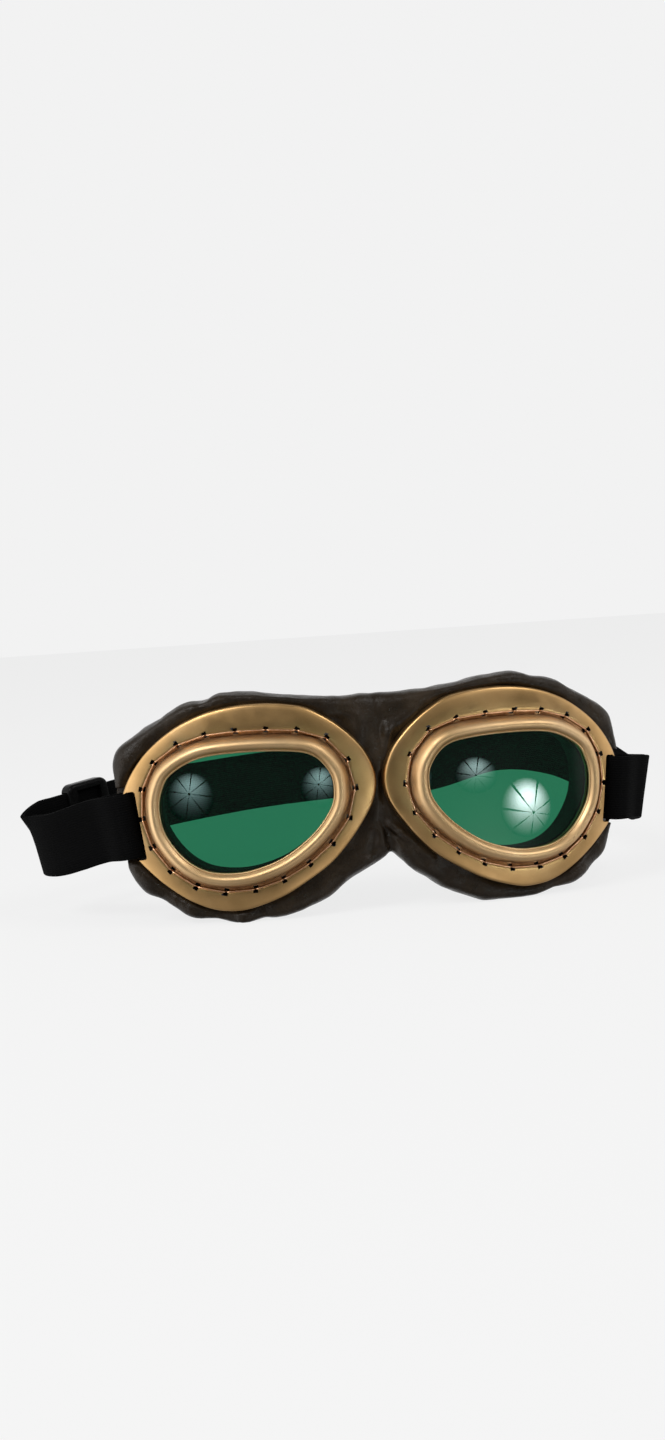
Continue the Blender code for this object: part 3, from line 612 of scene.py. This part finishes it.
def chord_ring(offset, count=AROUND):
    """Points at equal angles on the straight runs from lacing slot to lacing slot, pushed out by offset."""
    corners = [Vector(place) for place in lacing_places(offset)]
    corners.sort(key=lambda corner: atan2(corner.y, corner.x) % tau)
    angles = [atan2(corner.y, corner.x) % tau for corner in corners]
    points = []
    for index in range(count):
        angle = index * tau / count
        after = sum(1 for corner in angles if corner <= angle) % len(corners)
        first, second = corners[after - 1], corners[after]
        way = Vector((cos(angle), sin(angle)))
        points.append(way * (first.cross(second) / way.cross(second - first)))
    return points


def make_frame(side):
    top = chord_ring(GROOVE_WALL + WALL_LEAN)
    edge = ring(FLANGE)

    def crown(profile, under):
        return [(between(top, edge, share), CROWN * rise - under) for share, rise in profile]

    shelf, wall, inner = ring(OPENING, SHELF_INSET), chord_ring(GROOVE_WALL), chord_ring(GROOVE_WALL + SHEET)
    sections = [
        (shelf, SHEET), (chord_ring(GROOVE_WALL - GROOVE_ROUNDING), SHEET), (wall, SHEET + GROOVE_ROUNDING),
        (wall, CROWN * WALL_SHARE), *crown(FLANGE_PROFILE, 0.0), (between(top, edge, RIM_SHARE), 0.0),
        *crown(FLANGE_PROFILE[-5:2:-1], SHEET), (inner, CROWN * UNDER_SHARE - SHEET), (inner, 0.0), (shelf, 0.0),
    ]
    made = finished(f"frame_{NAMES[side]}_gold", loft_shape(side, sections), "gold", 50)
    # Painted shade: reddish brown in the groove, and black rubber inside the lacing slots
    for look in ("groove", "rubber"):
        made.data.materials.append(LOOKS[look])
    depth = (CROWN + OVERRUN) * 2
    cutter = box_shape(((SLOT_WIDTH, depth, SLOT_LENGTH), slot_matrix(side, SLOT_OUT)))
    round_off(cutter, cutter.edges[:], SLOT_CORNER, 4)
    cut_away(made, cutter)
    slots = []
    for across, up in lacing_places(LACING_OUT):
        turn = Matrix.Rotation(-atan2(up, -side * across), 4, "Y")
        place = Matrix.Translation((-side * across, sag(across, up), up))
        slots.append(cup_axes(side) @ place @ turn)
    cut_away(made, box_shape(*((LACING_SLOT, slot) for slot in slots)))
    paint_groove_shade(made, side, slots)
    return ride_cup(made, "frame", side)


def paint_groove_shade(made, side, slots):
    """The groove's floor and wall take a reddish brown painted shade and painted reflection of the gold, and the
    insides of its slots take black rubber as painted shade.
    """
    back, insides = cup_axes(side).inverted(), [slot.inverted() for slot in slots]
    steps = 720
    wall = chord_ring(GROOVE_WALL, steps)
    for face in made.data.polygons:
        local = back @ face.center
        across, up = -side * local.x, local.z
        limit = wall[int(atan2(up, across) % tau / tau * steps) % steps].length + GROOVE_MARGIN
        if hypot(across, up) < limit and sag(across, up) - local.y < CROWN * WALL_SHARE:
            face.material_index = 1
        # The insides of the lacing slots take black rubber as painted shade
        for inside in insides:
            if all(abs(at) < size / 2 + SLOT_MARGIN for at, size in zip(inside @ face.center, LACING_SLOT)):
                face.material_index = 2


def make_wire(side):
    """The wire in the groove, in nearly straight runs between the slots, with a dip into each."""
    shape = bmesh.new()
    corners = lacing_places(GROOVE_WALL + GROOVE_MARGIN)
    points = []
    for first, second in zip(corners, corners[1:] + corners[:1]):
        for part in WIRE_SHARES:
            across, up = (start + (end - start) * part for start, end in zip(first, second))
            dip = max(0.0, 1 - min(part, 1 - part) / DIP_SHARE) ** 2
            points.append(cup_point(side, across, up, CROWN * WIRE_SHARE - WIRE_DIP * dip))
    sides = 8
    loops = []
    facing = cup_axes(side).to_3x3() @ Vector((0, -1, 0))
    for index, point in enumerate(points):
        along = (points[(index + 1) % len(points)] - points[index - 1]).normalized()
        beside = along.cross(facing).normalized()
        out = beside.cross(along)
        loops.append([
            shape.verts.new(point + (beside * cos(a) + out * sin(a)) * WIRE_RADIUS)
            for a in (tau * step / sides for step in range(sides))
        ])
    join_up(shape, loops)
    return ride_cup(finished(f"lacing_{NAMES[side]}_wire", shape, "copper", 180), "lacing_wire", side)


def make_bezel(side):
    crest = [(ring(OPENING, BEZEL_WIDTH * share), BEZEL_BASE + BEZEL_RISE * rise) for share, rise in BEZEL_PROFILE]
    foot, inner = ring(OPENING, BEZEL_WIDTH * BEZEL_FOOT), ring(OPENING, LENS_OVERLAP + CLEARANCE)
    sections = [(ring(OPENING), BEZEL_BASE), *crest, (foot, GASKET_BACK), (inner, GASKET_BACK), (inner, BEZEL_BASE)]
    return ride_cup(finished(f"bezel_{NAMES[side]}_gold", loft_shape(side, sections), "bezel", 60), "bezel", side)


def make_lens(side):
    """A curved plate of rings, smooth on both faces."""
    edge = soft_ring(OPENING, LENS_OVERLAP)
    shape = bmesh.new()
    rims = []
    for height in (LENS_FRONT, LENS_BACK):
        loops = []
        for step in range(LENS_RINGS, 0, -1):
            share = step / LENS_RINGS
            loops.append([shape.verts.new(cup_point(side, p.x * share, p.y * share, height)) for p in edge])
        middle = shape.verts.new(cup_point(side, 0, 0, height))
        rims.append(loops[0])
        for outer, inner in zip(loops, loops[1:]):
            wall_between(shape, outer, inner)
        for corner, after in zip(inner, inner[1:] + inner[:1]):
            shape.faces.new((corner, after, middle))
    wall_between(shape, *rims)
    made = finished(f"lens_{NAMES[side]}_glass", shape, "glass", 40)
    back = cup_axes(side).inverted()
    normals = []
    for vertex in made.data.vertices:
        local = back @ vertex.co
        in_front = sag(local.x, local.z) - local.y > (LENS_FRONT + LENS_BACK) / 2
        normals.append(cup_facing(side, local) * (1 if in_front else -1))
    made.data.normals_split_custom_set_from_vertices(normals)
    return ride_cup(made, "lens", side)


def pad_depths(points, share):
    return [-share * (PAD_DEPTH - PAD_TEMPLE_DEPTH * point.normalized().x) for point in points]


def make_liner(side):
    inside = soft_ring(OPENING, LINER_INSET)
    outside = soft_ring(OPENING, LINER_INSET + LINER_WALL)
    sections = [(inside, PAD_SEAT), (outside, PAD_SEAT)]
    depths = [pad_depths(outside, LINER_DEPTH_SHARE * share) for share in (0.35, 0.7, 1.0)]
    sections += [(outside, depth) for depth in depths] + [(inside, depth) for depth in depths[::-1]]
    made = finished(f"liner_{NAMES[side]}", loft_shape(side, sections), "lining", 50)
    return ride_cup(made, "eyecup_liner", side)


def make_foam(side):
    nose = CUP_HALF_SPACING - FOAM_NOSE_GAP
    outline = [Vector((min(point.x, nose), point.y)) for point in soft_ring(PAD)]
    inner = soft_ring(OPENING, PAD_INNER_INSET)
    floor = pad_depths(outline, 1.0)
    sections = [
        (between(inner, outline, share), [depth - CLEARANCE - FOAM_THICKNESS * back for depth in floor])
        for share, back in FOAM_SHARES
    ]
    made = finished(f"foam_{NAMES[side]}", loft_shape(side, sections), "foam", 60)
    for vertex in made.data.vertices:
        vertex.co.y += ripple(vertex.co, FOAM_GRAIN) + ripple(vertex.co, FOAM_WAVES)
    return ride_cup(made, "face_foam", side)


# The leather mask

# Where each side's stuffed edge swells or pulls in: angle about the lens and width in degrees, amount in millimetres
SWELLS = {
    -1: [
        (118, 7, 0.9), (103, 6, 0.75), (109, 4, -0.6), (160, 9, 0.6), (142, 6, -0.45), (232, 7, 0.75), (222, 5, -0.45),
        (262, 6, 0.82), (275, 4, -0.6), (290, 9, 0.6), (156, 8, 2.0), (208, 15, 2.9), (239, 7, 1.6), (265, 4, 1.1),
    ],
    1: [
        (232, 6, 1.05), (222, 4, -0.75), (245, 5, -0.52), (262, 8, 0.6), (285, 7, 0.75), (300, 5, -0.52),
        (120, 9, 0.45), (92, 8, 0.45), (152, 7, 0.52), (222, 17, 2.1), (236, 8, 0.8), (92, 30, 0.9), (313, 8, -1.0),
    ],
}
# Over what width beyond the flange a swell rises, and how far it reaches to the front and back, in metres
SWELL_RISE = 0.0025
SWELL_START = 0.3
SWELL_HEIGHT = 0.009
# Folds of the nose in millimetres: how far from its middle, how wide, how high, and the levels from which and to which
# each runs
NOSE_FOLDS = [
    (-9.0, 2.6, -1.0, 6.0, 36.0), (-3.5, 2.2, 1.0, -4.0, 34.0), (1.2, 1.6, -1.4, -30.0, 34.0),
    (11.5, 2.8, -0.7, 10.0, 34.0), (-15.0, 3.0, 0.6, 14.0, 34.0),
]
# How the folds spread upwards, and the height over which each begins and ends
FOLD_SPREAD = 0.06
FOLD_FADE = 0.006
# The unevenness in front as a share of that behind, and where the one passes into the other, in metres
FRONT_ROUGH = 0.4
FRONT_BACK = (-0.002, 0.002)
# The nose stands aside low down: how far, at what level, and how tall and wide that stretch is, in metres
NOSE_SHIFT = (0.004, -0.0215, 0.009, 0.012)
# Ridges and creases drawn in the nose: from and to, across and up from the root, then width and height, in millimetres
RIDGES = [
    (1.0, 12.0, 4.0, 26.2, 2.1, 1.7), (4.0, 26.2, 15.5, 33.8, 2.4, 1.5), (-8.5, 22.0, -7.0, 31.0, 2.2, 0.8),
    (0.8, -1.0, 1.8, -9.0, 1.5, 0.9), (2.0, -9.5, 5.5, -12.5, 1.4, 1.3), (5.5, -12.5, 10.5, -17.2, 1.4, 1.4),
    (12.5, -19.5, 18.5, -24.0, 1.5, 1.1), (-1.2, -11.0, -3.5, -16.5, 1.3, 1.0), (-8.5, -22.5, -15.0, -27.0, 1.7, 0.9),
    (1.8, -13.0, 7.5, -18.5, 1.1, -1.2), (-4.2, -13.0, -7.8, -20.0, 1.2, -1.0), (10.0, -20.5, 15.0, -25.0, 1.2, -0.9),
    (-5.0, 18.0, -2.8, 32.0, 1.4, -0.7), (-18.0, 34.5, -7.0, 33.5, 1.6, 0.6),
]


def pad_shape(side, shape):
    flange = soft_ring(FLANGE)
    outline = soft_ring(PAD)
    inner = soft_ring(OPENING, PAD_INNER_INSET)
    stand = [min(1.0, max(0.0, (out.length - edge.length) / PAD_EDGE_WIDTH)) for out, edge in zip(outline, flange)]
    seam = [
        out.normalized() * min(edge.length - SEAM_UNDER, out.length - SEAM_INSET)
        for out, edge in zip(outline, flange)
    ]
    step = soft_ring(OPENING, GROOVE_OUTER)
    sections = [(inner, PAD_SEAT), (step, PAD_SEAT), (soft_ring(OPENING, GROOVE_OUTER + PAD_STEP), -CLEARANCE)]
    sections += [
        (between(seam, outline, share), [PAD_BULGE * rise * level - CLEARANCE for level in stand])
        for share, rise in PAD_FRONT_SHARES
    ]
    sections += [(between(inner, outline, share), pad_depths(outline, depth)) for share, depth in PAD_BACK_SHARES]
    loft_shape(side, sections, shape)


def channel_box(side):
    bar = slot_matrix(side, BAR_OUT)
    tilt = Matrix.Rotation(side * CHANNEL_TILT, 4, "Z")
    floor = WRAP_RADIUS + STRAP_THICKNESS / 2 + CLEARANCE - BAR_HEIGHT
    inner = WRAP_RADIUS + STRAP_THICKNESS * 2
    corner = Matrix.Translation((-side * inner, floor, 0))
    middle = Matrix.Translation((side * CHANNEL_MIDDLE[0], CHANNEL_MIDDLE[1], 0))
    return CHANNEL_SIZE, bar @ corner @ tilt @ middle


def make_mask():
    """Both pads and the nose in one skin of leather, drawn into folds between the cups."""
    shape = bmesh.new()
    for side in (-1, 1):
        pad_shape(side, shape)
    made = finished("leather_mask", shape, "leather", 180)
    remesh = made.modifiers.new("skin", "REMESH")
    remesh.mode = "VOXEL"
    remesh.voxel_size = VOXEL
    even_out(made, 4, 0.5)
    apply_modifiers(made)
    cut_away(made, box_shape(channel_box(-1), channel_box(1)))
    wrinkle(made.data)
    even_out(made, 1, 0.4)
    apply_modifiers(made)
    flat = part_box("leather_pad_left")[0].z
    for vertex in made.data.vertices:
        vertex.co.z = max(vertex.co.z, flat)
    made.data.shade_smooth()
    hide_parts("leather_pad_left", "leather_pad_right", "nose_bridge")
    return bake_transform(made)


def bell(value, width):
    return np.exp(-((value / width) ** 2))


def rows_of(items, key):
    """One vector of each item, as the rows of an array."""
    found = np.empty(len(items) * 3)
    items.foreach_get(key, found)
    return found.reshape(-1, 3)


def wrinkle(mesh):
    """Moves the leather along its normals: swells at its edge, ridges and folds of the nose, and unevenness."""
    places, normals = rows_of(mesh.vertices, "co"), rows_of(mesh.vertex_normals, "vector")
    moved = np.zeros(len(places))
    for side in (-1, 1):
        back = np.array(cup_axes(side).inverted())
        local = places @ back[:3, :3].T + back[:3, 3]
        across, up = -side * local[:, 0], local[:, 2]
        height = sag(across, up) - local[:, 1]
        angle = np.arctan2(up, across) % tau
        reach = np.hypot(across, up)
        limit = np.interp(
            angle, np.arange(AROUND_SOFT) * tau / AROUND_SOFT,
            [point.length for point in soft_ring(FLANGE)], period=tau,
        )
        mine = (places[:, 0] - ROOT.x) * side > 0
        outside = np.clip((reach - limit) / SWELL_RISE + SWELL_START, 0, 1) * mine
        for degrees, wide, amount in SWELLS[side]:
            off = (np.degrees(angle) - degrees + 180) % 360 - 180
            moved += amount / 1000 * bell(off, wide) * outside * bell(height, SWELL_HEIGHT)
    nose = places - ROOT
    front = np.clip(-normals[:, 1], 0, 1)
    for *ends, wide, amount in np.divide(RIDGES, 1000):
        start, end = np.reshape(ends, (2, 2))
        run = end - start
        off = nose[:, (0, 2)] - start
        part = np.clip(off @ run / (run @ run), 0, 1)
        away = np.linalg.norm(off - part[:, None] * run, axis=1)
        moved += amount * bell(away, wide) * front
    for middle, wide, amount, low, high in np.divide(NOSE_FOLDS, 1000):
        near = bell(nose[:, 0] - middle * (1 + nose[:, 2] / FOLD_SPREAD), wide)
        level = np.clip((nose[:, 2] - low) / FOLD_FADE, 0, 1) * np.clip((high - nose[:, 2]) / FOLD_FADE, 0, 1)
        moved += amount * near * level * front
    rough = np.array([
        ripple(place, LEATHER_WAVES) + ripple(place, LEATHER_GRAIN) - abs(ripple(place, LEATHER_CREASES))
        for place in map(Vector, places)
    ])
    start, end = FRONT_BACK
    behind = np.clip((nose[:, 1] - start) / (end - start), 0, 1)
    moved += rough * (FRONT_ROUGH + (1 - FRONT_ROUGH) * behind)
    shift, level, tall, wide = NOSE_SHIFT
    places[:, 0] += shift * bell(nose[:, 2] - level, tall) * bell(nose[:, 0], wide)
    mesh.vertices.foreach_set("co", (places + normals * moved[:, None]).ravel())
    mesh.update()


# The strap


def route_point(shares):
    """A place on the strap about the root, from its shares of how far the strap reaches."""
    x, y, z = shares
    return Vector((x * (REACH_LEFT if x < 0 else REACH_RIGHT), y * REACH_BACK, -SLOT_DROP - z * STRAP_FALL))


def band_width(point, along):
    """The way the band's width runs at a point: upright, and leaning out at the sides."""
    side, lean, shares = (1, RIGHT_LEAN, RIGHT_LEAN_SHARES) if point.x > 0 else (-1, LEFT_LEAN, LEFT_LEAN_SHARES)
    depths, parts_of_lean = zip(*shares)
    angle = side * lean * float(np.interp(point.y / REACH_BACK, depths, parts_of_lean))
    upright = Vector((sin(angle), 0, cos(angle)))
    return (upright - along * along.dot(upright)).normalized()


def band_axes(points):
    """The ways the band faces and its width runs at each point."""
    axes = []
    for index, point in enumerate(points):
        before = points[max(index - 1, 0)]
        after = points[min(index + 1, len(points) - 1)]
        along = (after - before).normalized()
        width = band_width(point, along)
        axes.append((along.cross(width), width))
    return axes


def strap_route():
    """The whole route from bar to bar about the root, and the places where it is divided."""
    start, end = (cup_point(side, -BAR_OUT, -SLOT_DROP, BAR_HEIGHT) - ROOT for side in (-1, 1))
    middle = route_point(SLIDER_SHARES)
    aim = (route_point(SLIDER_AIM_SHARES) - middle).normalized()
    before = SLIDER_LENGTH / 2 + SLIDER_FORWARD + SLIDER_MARGIN
    after = SLIDER_LENGTH / 2 + SLIDER_BACKWARD + SLIDER_MARGIN
    straight = [middle + aim * along for along in (-before - SLIDER_BAR, -before, 0.0, after, after + SLIDER_BAR)]
    left, rear, right = (list(map(route_point, table)) for table in (LEFT_BEND_SHARES, REAR_SHARES, RIGHT_BEND_SHARES))
    route = spline([start, *left, *straight, *rear, *right, end], False, STATION)
    ends = [min(range(len(route)), key=lambda index: (route[index] - mark).length) for mark in (straight[3], right[0])]
    for share, reach in zip(MIDDLE_SHARES, (REACH_LEFT, REACH_RIGHT)):
        ends.append(min(range(ends[0], ends[1]), key=lambda index: abs(route[index].x - share * reach)))
    return route, sorted(ends), middle, aim


# The band's cross section: shares of half its width and half its thickness
BAND_SECTION = [
    (0.965, 1.0), (0.6, 1.0), (0.2, 1.0), (-0.2, 1.0), (-0.6, 1.0), (-0.965, 1.0), (-0.992, 0.62), (-1.0, 0.0),
    (-0.992, -0.62),
]
BAND_SECTION += [(-across, -out) for across, out in BAND_SECTION]


def make_band(name, stations):
    """A woven band through stations, each a middle point, the way it faces and the way its width runs."""
    shape = bmesh.new()
    weave = shape.loops.layers.uv.new("weave")
    loops, travelled = [], [0.0]
    for index, (middle, facing, width) in enumerate(stations):
        if index:
            travelled.append(travelled[-1] + (middle - stations[index - 1][0]).length)
        edge = 1 + ripple(middle, BAND_WAVER)
        loops.append([
            shape.verts.new(ROOT + middle + facing * STRAP_THICKNESS / 2 * up + width * STRAP_WIDTH / 2 * out * edge)
            for out, up in BAND_SECTION
        ])
    for row, (first, second) in enumerate(zip(loops, loops[1:])):
        for index, face in enumerate(wall_between(shape, first, second)):
            after = (index + 1) % len(BAND_SECTION)
            spots = [(row, index), (row, after), (row + 1, after), (row + 1, index)]
            for corner, (along, at) in zip(face.loops, spots):
                corner[weave].uv = (travelled[along], BAND_SECTION[at][0] * STRAP_WIDTH / 2)
    for cap in (loops[0], loops[-1]):
        shape.faces.new(cap)
    return finished(name, shape, "elastic", 50)


def loop_stations(stations):
    """The doubled band that goes out from a slot's bar: out along one layer, round the bar and back."""
    start, facing, width = stations[0]
    along = (stations[1][0] - start).normalized()
    wrap = []
    steps = 18
    for step in range(1, steps):
        angle = pi * step / steps
        out = facing * cos(angle) - along * sin(angle)
        wrap.append((start + out * WRAP_RADIUS, out, width))
    travelled = 0.0
    front, back = [], []
    closed = (LAYER_GAP + STRAP_THICKNESS) / 2
    for index, (point, facing, width) in enumerate(stations):
        if index:
            travelled += (point - stations[index - 1][0]).length
        share = min(1.0, max(0.0, (travelled - BAR_WIDTH / 2) / SPREAD_LENGTH))
        ease = share * share * (3 - 2 * share)
        apart = WRAP_RADIUS + (closed - WRAP_RADIUS) * ease
        front.append((point + facing * apart, facing, width))
        back.append((point - facing * apart, -facing, width))
    return front[::-1] + wrap + back


def make_slider(middle, along):
    """A moulded block with a tunnel for the elastic, one window in front and two behind."""
    width = band_width(middle, along)
    inside = LAYER_GAP + STRAP_THICKNESS * 2 + CLEARANCE * 2
    reach = STRAP_WIDTH + CLEARANCE * 2
    tall = reach + SLIDER_RAIL * 2
    thick = inside + SLIDER_PLATE * 2
    axes = Matrix.Translation(ROOT + middle) @ Matrix((along, width.cross(along), width)).transposed().to_4x4()
    shape = box_shape(((SLIDER_LENGTH, thick, tall), Matrix()))
    upright = [edge for edge in shape.edges if abs(edge.verts[0].co.y - edge.verts[1].co.y) > thick / 2]
    round_off(shape, upright, SLIDER_CORNER, 8)
    rims = [edge for edge in shape.edges if edge.calc_face_angle(0.0) > radians(60)]
    round_off(shape, rims, SLIDER_ROUNDING, 6)
    shape.transform(axes)
    made = finished("strap_slider_moulded", shape, "plastic", 50)
    window = SLIDER_LENGTH - SLIDER_BAR * 2
    half_window = (window - SLIDER_BAR) / 2
    aside = (SLIDER_BAR + half_window) / 2
    deep = thick / 2 + OVERRUN
    for length, depth, across, back in (
        (SLIDER_LENGTH + OVERRUN, inside, 0, 0),
        (window, deep, 0, -deep / 2),
        (half_window, deep, aside, deep / 2),
        (half_window, deep, -aside, deep / 2),
    ):
        cut_away(made, box_shape(((length, depth, reach), axes @ Matrix.Translation((across, back, 0)))))
    made.data.shade_smooth()
    made.data.set_sharp_from_angle(angle=radians(40))
    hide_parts("strap_slider")
    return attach(made, "slider")


def make_strap():
    route, ends, slider_middle, aim = strap_route()
    stations = list(zip(route, *zip(*band_axes(route))))
    for label, part in (("left", stations[: ends[0] + 1]), ("right", stations[ends[3]:][::-1])):
        loop = make_band(f"strap_loop_{label}_elastic", loop_stations(part))
        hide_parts(f"strap_loop_{label}")
        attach(loop, f"{label}_strap")
    for label, first, last, body, other in (
        ("left", ends[0], ends[1], "left_strap", "left_eyecup"),
        ("middle", ends[1], ends[2], "left_eyecup", "right_eyecup"),
        ("right", ends[3], ends[2], "right_strap", "right_eyecup"),
    ):
        low, high = sorted((first, last))
        band = make_band(f"rear_band_{label}_elastic", stations[low: high + 1])
        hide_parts(f"rear_band_{label}")
        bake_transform(band)
    make_slider(slider_middle, aim)


# The surroundings


def stage_piece(name, shape, *unseen_by):
    """A surface round the object that some rays don't see. Gives the function that adds its nodes."""
    look = bpy.data.materials.new(name)
    made = poured(name, shape)
    made.data.materials.append(look)
    for rays in unseen_by:
        setattr(made, f"visible_{rays}", False)
    return emptied(look)


RIBS = 8
RIB_TURN = 0.12
RIB_SHARES = (0.05, 0.28, 0.5, 0.72, 0.95)
RING_SHARES = (0.05, 0.12, 0.2, 0.3, 0.42, 0.55, 0.68, 0.8, 0.9, 0.96, 1.0)
# The glow: the share of the reach over which it fades at the rim, and the width and share of its two parts
RIM_FADE = 0.55
GLOW = ((0.56, 0.82), (1.1, 0.18))


def umbrella(name, side, lens_tree, centre, radius, hub, core, distance, strength, tint):
    """A ribbed umbrella of a studio lamp, placed where the lens mirrors it at that place in the picture.

    The centre and radius give its rim, the hub is where its ribs meet and the core is where it is brightest.
    """
    shape = bmesh.new()
    glow = shape.verts.layers.float.new("glow")

    def mirrored(pixel, level):
        ray = pixel_ray(*pixel)
        place = lens_tree.ray_cast(CAMERA_PLACE, ray)[0]
        if place is None:
            return None
        facing = cup_facing(side, cup_axes(side).inverted() @ place)
        vertex = shape.verts.new(place + (ray - facing * 2 * ray.dot(facing)) * distance)
        vertex[glow] = level
        return vertex

    centre, radius, hub, core = map(np.array, (centre, radius, hub, core))
    offset = (hub - centre) / radius
    for rib in range(RIBS):
        rows = [[] for share in RING_SHARES]
        for part in RIB_SHARES:
            angle = tau / RIBS * (rib + part) + RIB_TURN
            spoke = np.array((cos(angle), sin(angle)))
            way = spoke / radius
            length, toward = way @ way, way @ offset
            reach = (sqrt(toward**2 - length * (offset @ offset - 1)) - toward) / length
            for row, share in zip(rows, RING_SHARES):
                pixel = hub + spoke * reach * share
                off = np.linalg.norm((pixel - core) / radius)
                fade = min(1.0, (1.0 - share) / RIM_FADE)
                level = sum(part * bell(off, wide) for wide, part in GLOW)
                row.append(mirrored(pixel, level * fade * (2 - fade)))
        for near, far in zip(rows, rows[1:]):
            for corners in zip(near, near[1:], far[1:], far):
                if None not in corners:
                    shape.faces.new(corners)
    add = stage_piece(name, shape, "camera", "diffuse", "transmission", "shadow")
    level = add("Attribute", attribute_name="glow").outputs["Fac"]
    brighter = add("Math", level, strength, operation="MULTIPLY")
    add("OutputMaterial", add("Emission", (*tint, 1.0), brighter))


def area_lamp(name, place, power):
    """A square lamp at a place about the root, turned to it."""
    data = bpy.data.lights.new(name, "AREA")
    data.size = LAMP_SIZE
    data.energy = power
    made = linked(name, data)
    made.location = ROOT + Vector(place)
    made.rotation_mode = "QUATERNION"
    made.rotation_quaternion = (ROOT - made.location).to_track_quat("-Z", "Y")


LAMP_SIZE = 0.6
FLOOR_REACH = 3.0
# Brightness of the background and of the floor as the camera sees them, and of the world for diffuse rays
PALE = 0.888
FLOOR_GLOW = 0.905
FLOOR_GLOW_SHARE = 0.88
DIFFUSE_LEVEL = 0.42
# The world for glossy rays. A zone has the part of the direction that counts, where it starts and is full, and what it
# adds, and a lobe has its direction and what it adds.
FRONT_LEVEL = 0.1
HORIZON = -0.13
ZONES = (
    ("off", 0.12, 0.4, 0.44), ("above", 0.1, 0.3, -0.26), ("Z", -0.5, -0.85, -0.24), ("X", -0.66, -0.9, 2.3),
    ("X", 0.8, 0.97, 1.5),
)
LOBES = (((0.36, -0.8, -0.48), 1.6), ((0.34, -0.8, 0.49), 1.35))
LOBE_POWER = 36.0


def seen_straight(add, path):
    return add("Math", path["Is Camera Ray"], path["Is Transmission Ray"], operation="MAXIMUM")


def make_world():
    """Pale all round for what is seen straight or through glass, and a studio with darker top and floor for gloss."""
    world = bpy.data.worlds.new("studio")
    bpy.context.scene.world = world
    add = emptied(world)

    def calculate(operation, first, second=None):
        return add("Math", first, second, operation=operation).outputs[0]

    path = add("LightPath").outputs
    toward = add("TexCoord").outputs["Generated"]
    way = add("SeparateXYZ", toward).outputs
    above = calculate("SUBTRACT", way["Z"], HORIZON)
    heights = {"above": above, "off": calculate("ABSOLUTE", above)}
    studio = FRONT_LEVEL
    for part, start, full, level in ZONES:
        share = add("MapRange", heights.get(part) or way[part], start, full, 0.0, 1.0)
        studio = calculate("ADD", calculate("MULTIPLY", share, level), studio)
    for lamp_way, level in LOBES:
        aim = add("VectorMath", toward, lamp_way, operation="DOT_PRODUCT").outputs["Value"]
        lobe = calculate("POWER", calculate("MAXIMUM", aim, 0.0), LOBE_POWER)
        studio = calculate("ADD", calculate("MULTIPLY", lobe, level), studio)
    behind = add("MapRange", way["Y"], 0.0, 0.5, 0.0, 1.0)
    studio = add("Mix", behind, None, studio, PALE)
    lit = add("Mix", path["Is Glossy Ray"], None, DIFFUSE_LEVEL, studio)
    seen = add("Mix", seen_straight(add, path), None, lit, PALE)
    add("OutputWorld", add("Background", (1.0, 1.0, 1.0, 1.0), seen))


def make_floor():
    """A pale floor that keeps the object's shadow and otherwise looks like the background."""
    shape = bmesh.new()
    bmesh.ops.create_grid(shape, x_segments=1, y_segments=1, size=FLOOR_REACH)
    add = stage_piece("floor", shape, "glossy")
    straight = seen_straight(add, add("LightPath").outputs)
    share = add("Math", straight, FLOOR_GLOW_SHARE, operation="MULTIPLY")
    matte = add("BsdfDiffuse", (0.88, 0.88, 0.88, 1.0))
    add("OutputMaterial", add("MixShader", share, matte, add("Emission", None, FLOOR_GLOW)))


make_camera()
make_world()
make_floor()
area_lamp("key", (-0.85, -0.75, 1.1), 13.0)
area_lamp("fill", (0.9, -0.6, 1.15), 7.0)
# The gaskets and the rings behind the leather stay as they come
for label in NAMES.values():
    for node, look in (("lens_gasket", "rubber"), ("backing_ring", "steel")):
        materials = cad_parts[f"{node}_{label}"].data.materials
        materials.clear()
        materials.append(LOOKS[look])
lenses = {}
for cup_side in (-1, 1):
    make_frame(cup_side)
    make_wire(cup_side)
    make_bezel(cup_side)
    lenses[cup_side] = make_lens(cup_side)
    make_liner(cup_side)
    make_foam(cup_side)
make_mask()
make_strap()

bpy.context.view_layer.update()
for lamp_name, cup_side, *lamp in (
    ("umbrella_a", -1, (190.5, 797.5), (23.5, 25.0), (189.0, 794.0), (190.5, 784.0), 1.6, 8.2, (0.64, 1.0, 0.98)),
    ("umbrella_b", -1, (320.0, 787.0), (19.5, 20.5), (318.5, 784.5), (321.0, 776.0), 0.6, 9.0, (0.64, 1.0, 0.98)),
    ("umbrella_c", 1, (476.0, 775.0), (21.5, 18.5), (476.0, 775.7), (476.0, 765.5), 1.6, 11.0, (0.7, 1.0, 0.97)),
    ("umbrella_d", 1, (526.0, 807.0), (25.5, 30.0), (534.0, 812.5), (527.0, 795.0), 1.6, 37.0, (0.86, 0.98, 1.0)),
):
    tree = BVHTree.FromObject(lenses[cup_side], bpy.context.evaluated_depsgraph_get())
    umbrella(lamp_name, cup_side, tree, *lamp)

bpy.context.scene.view_settings.view_transform = "Standard"
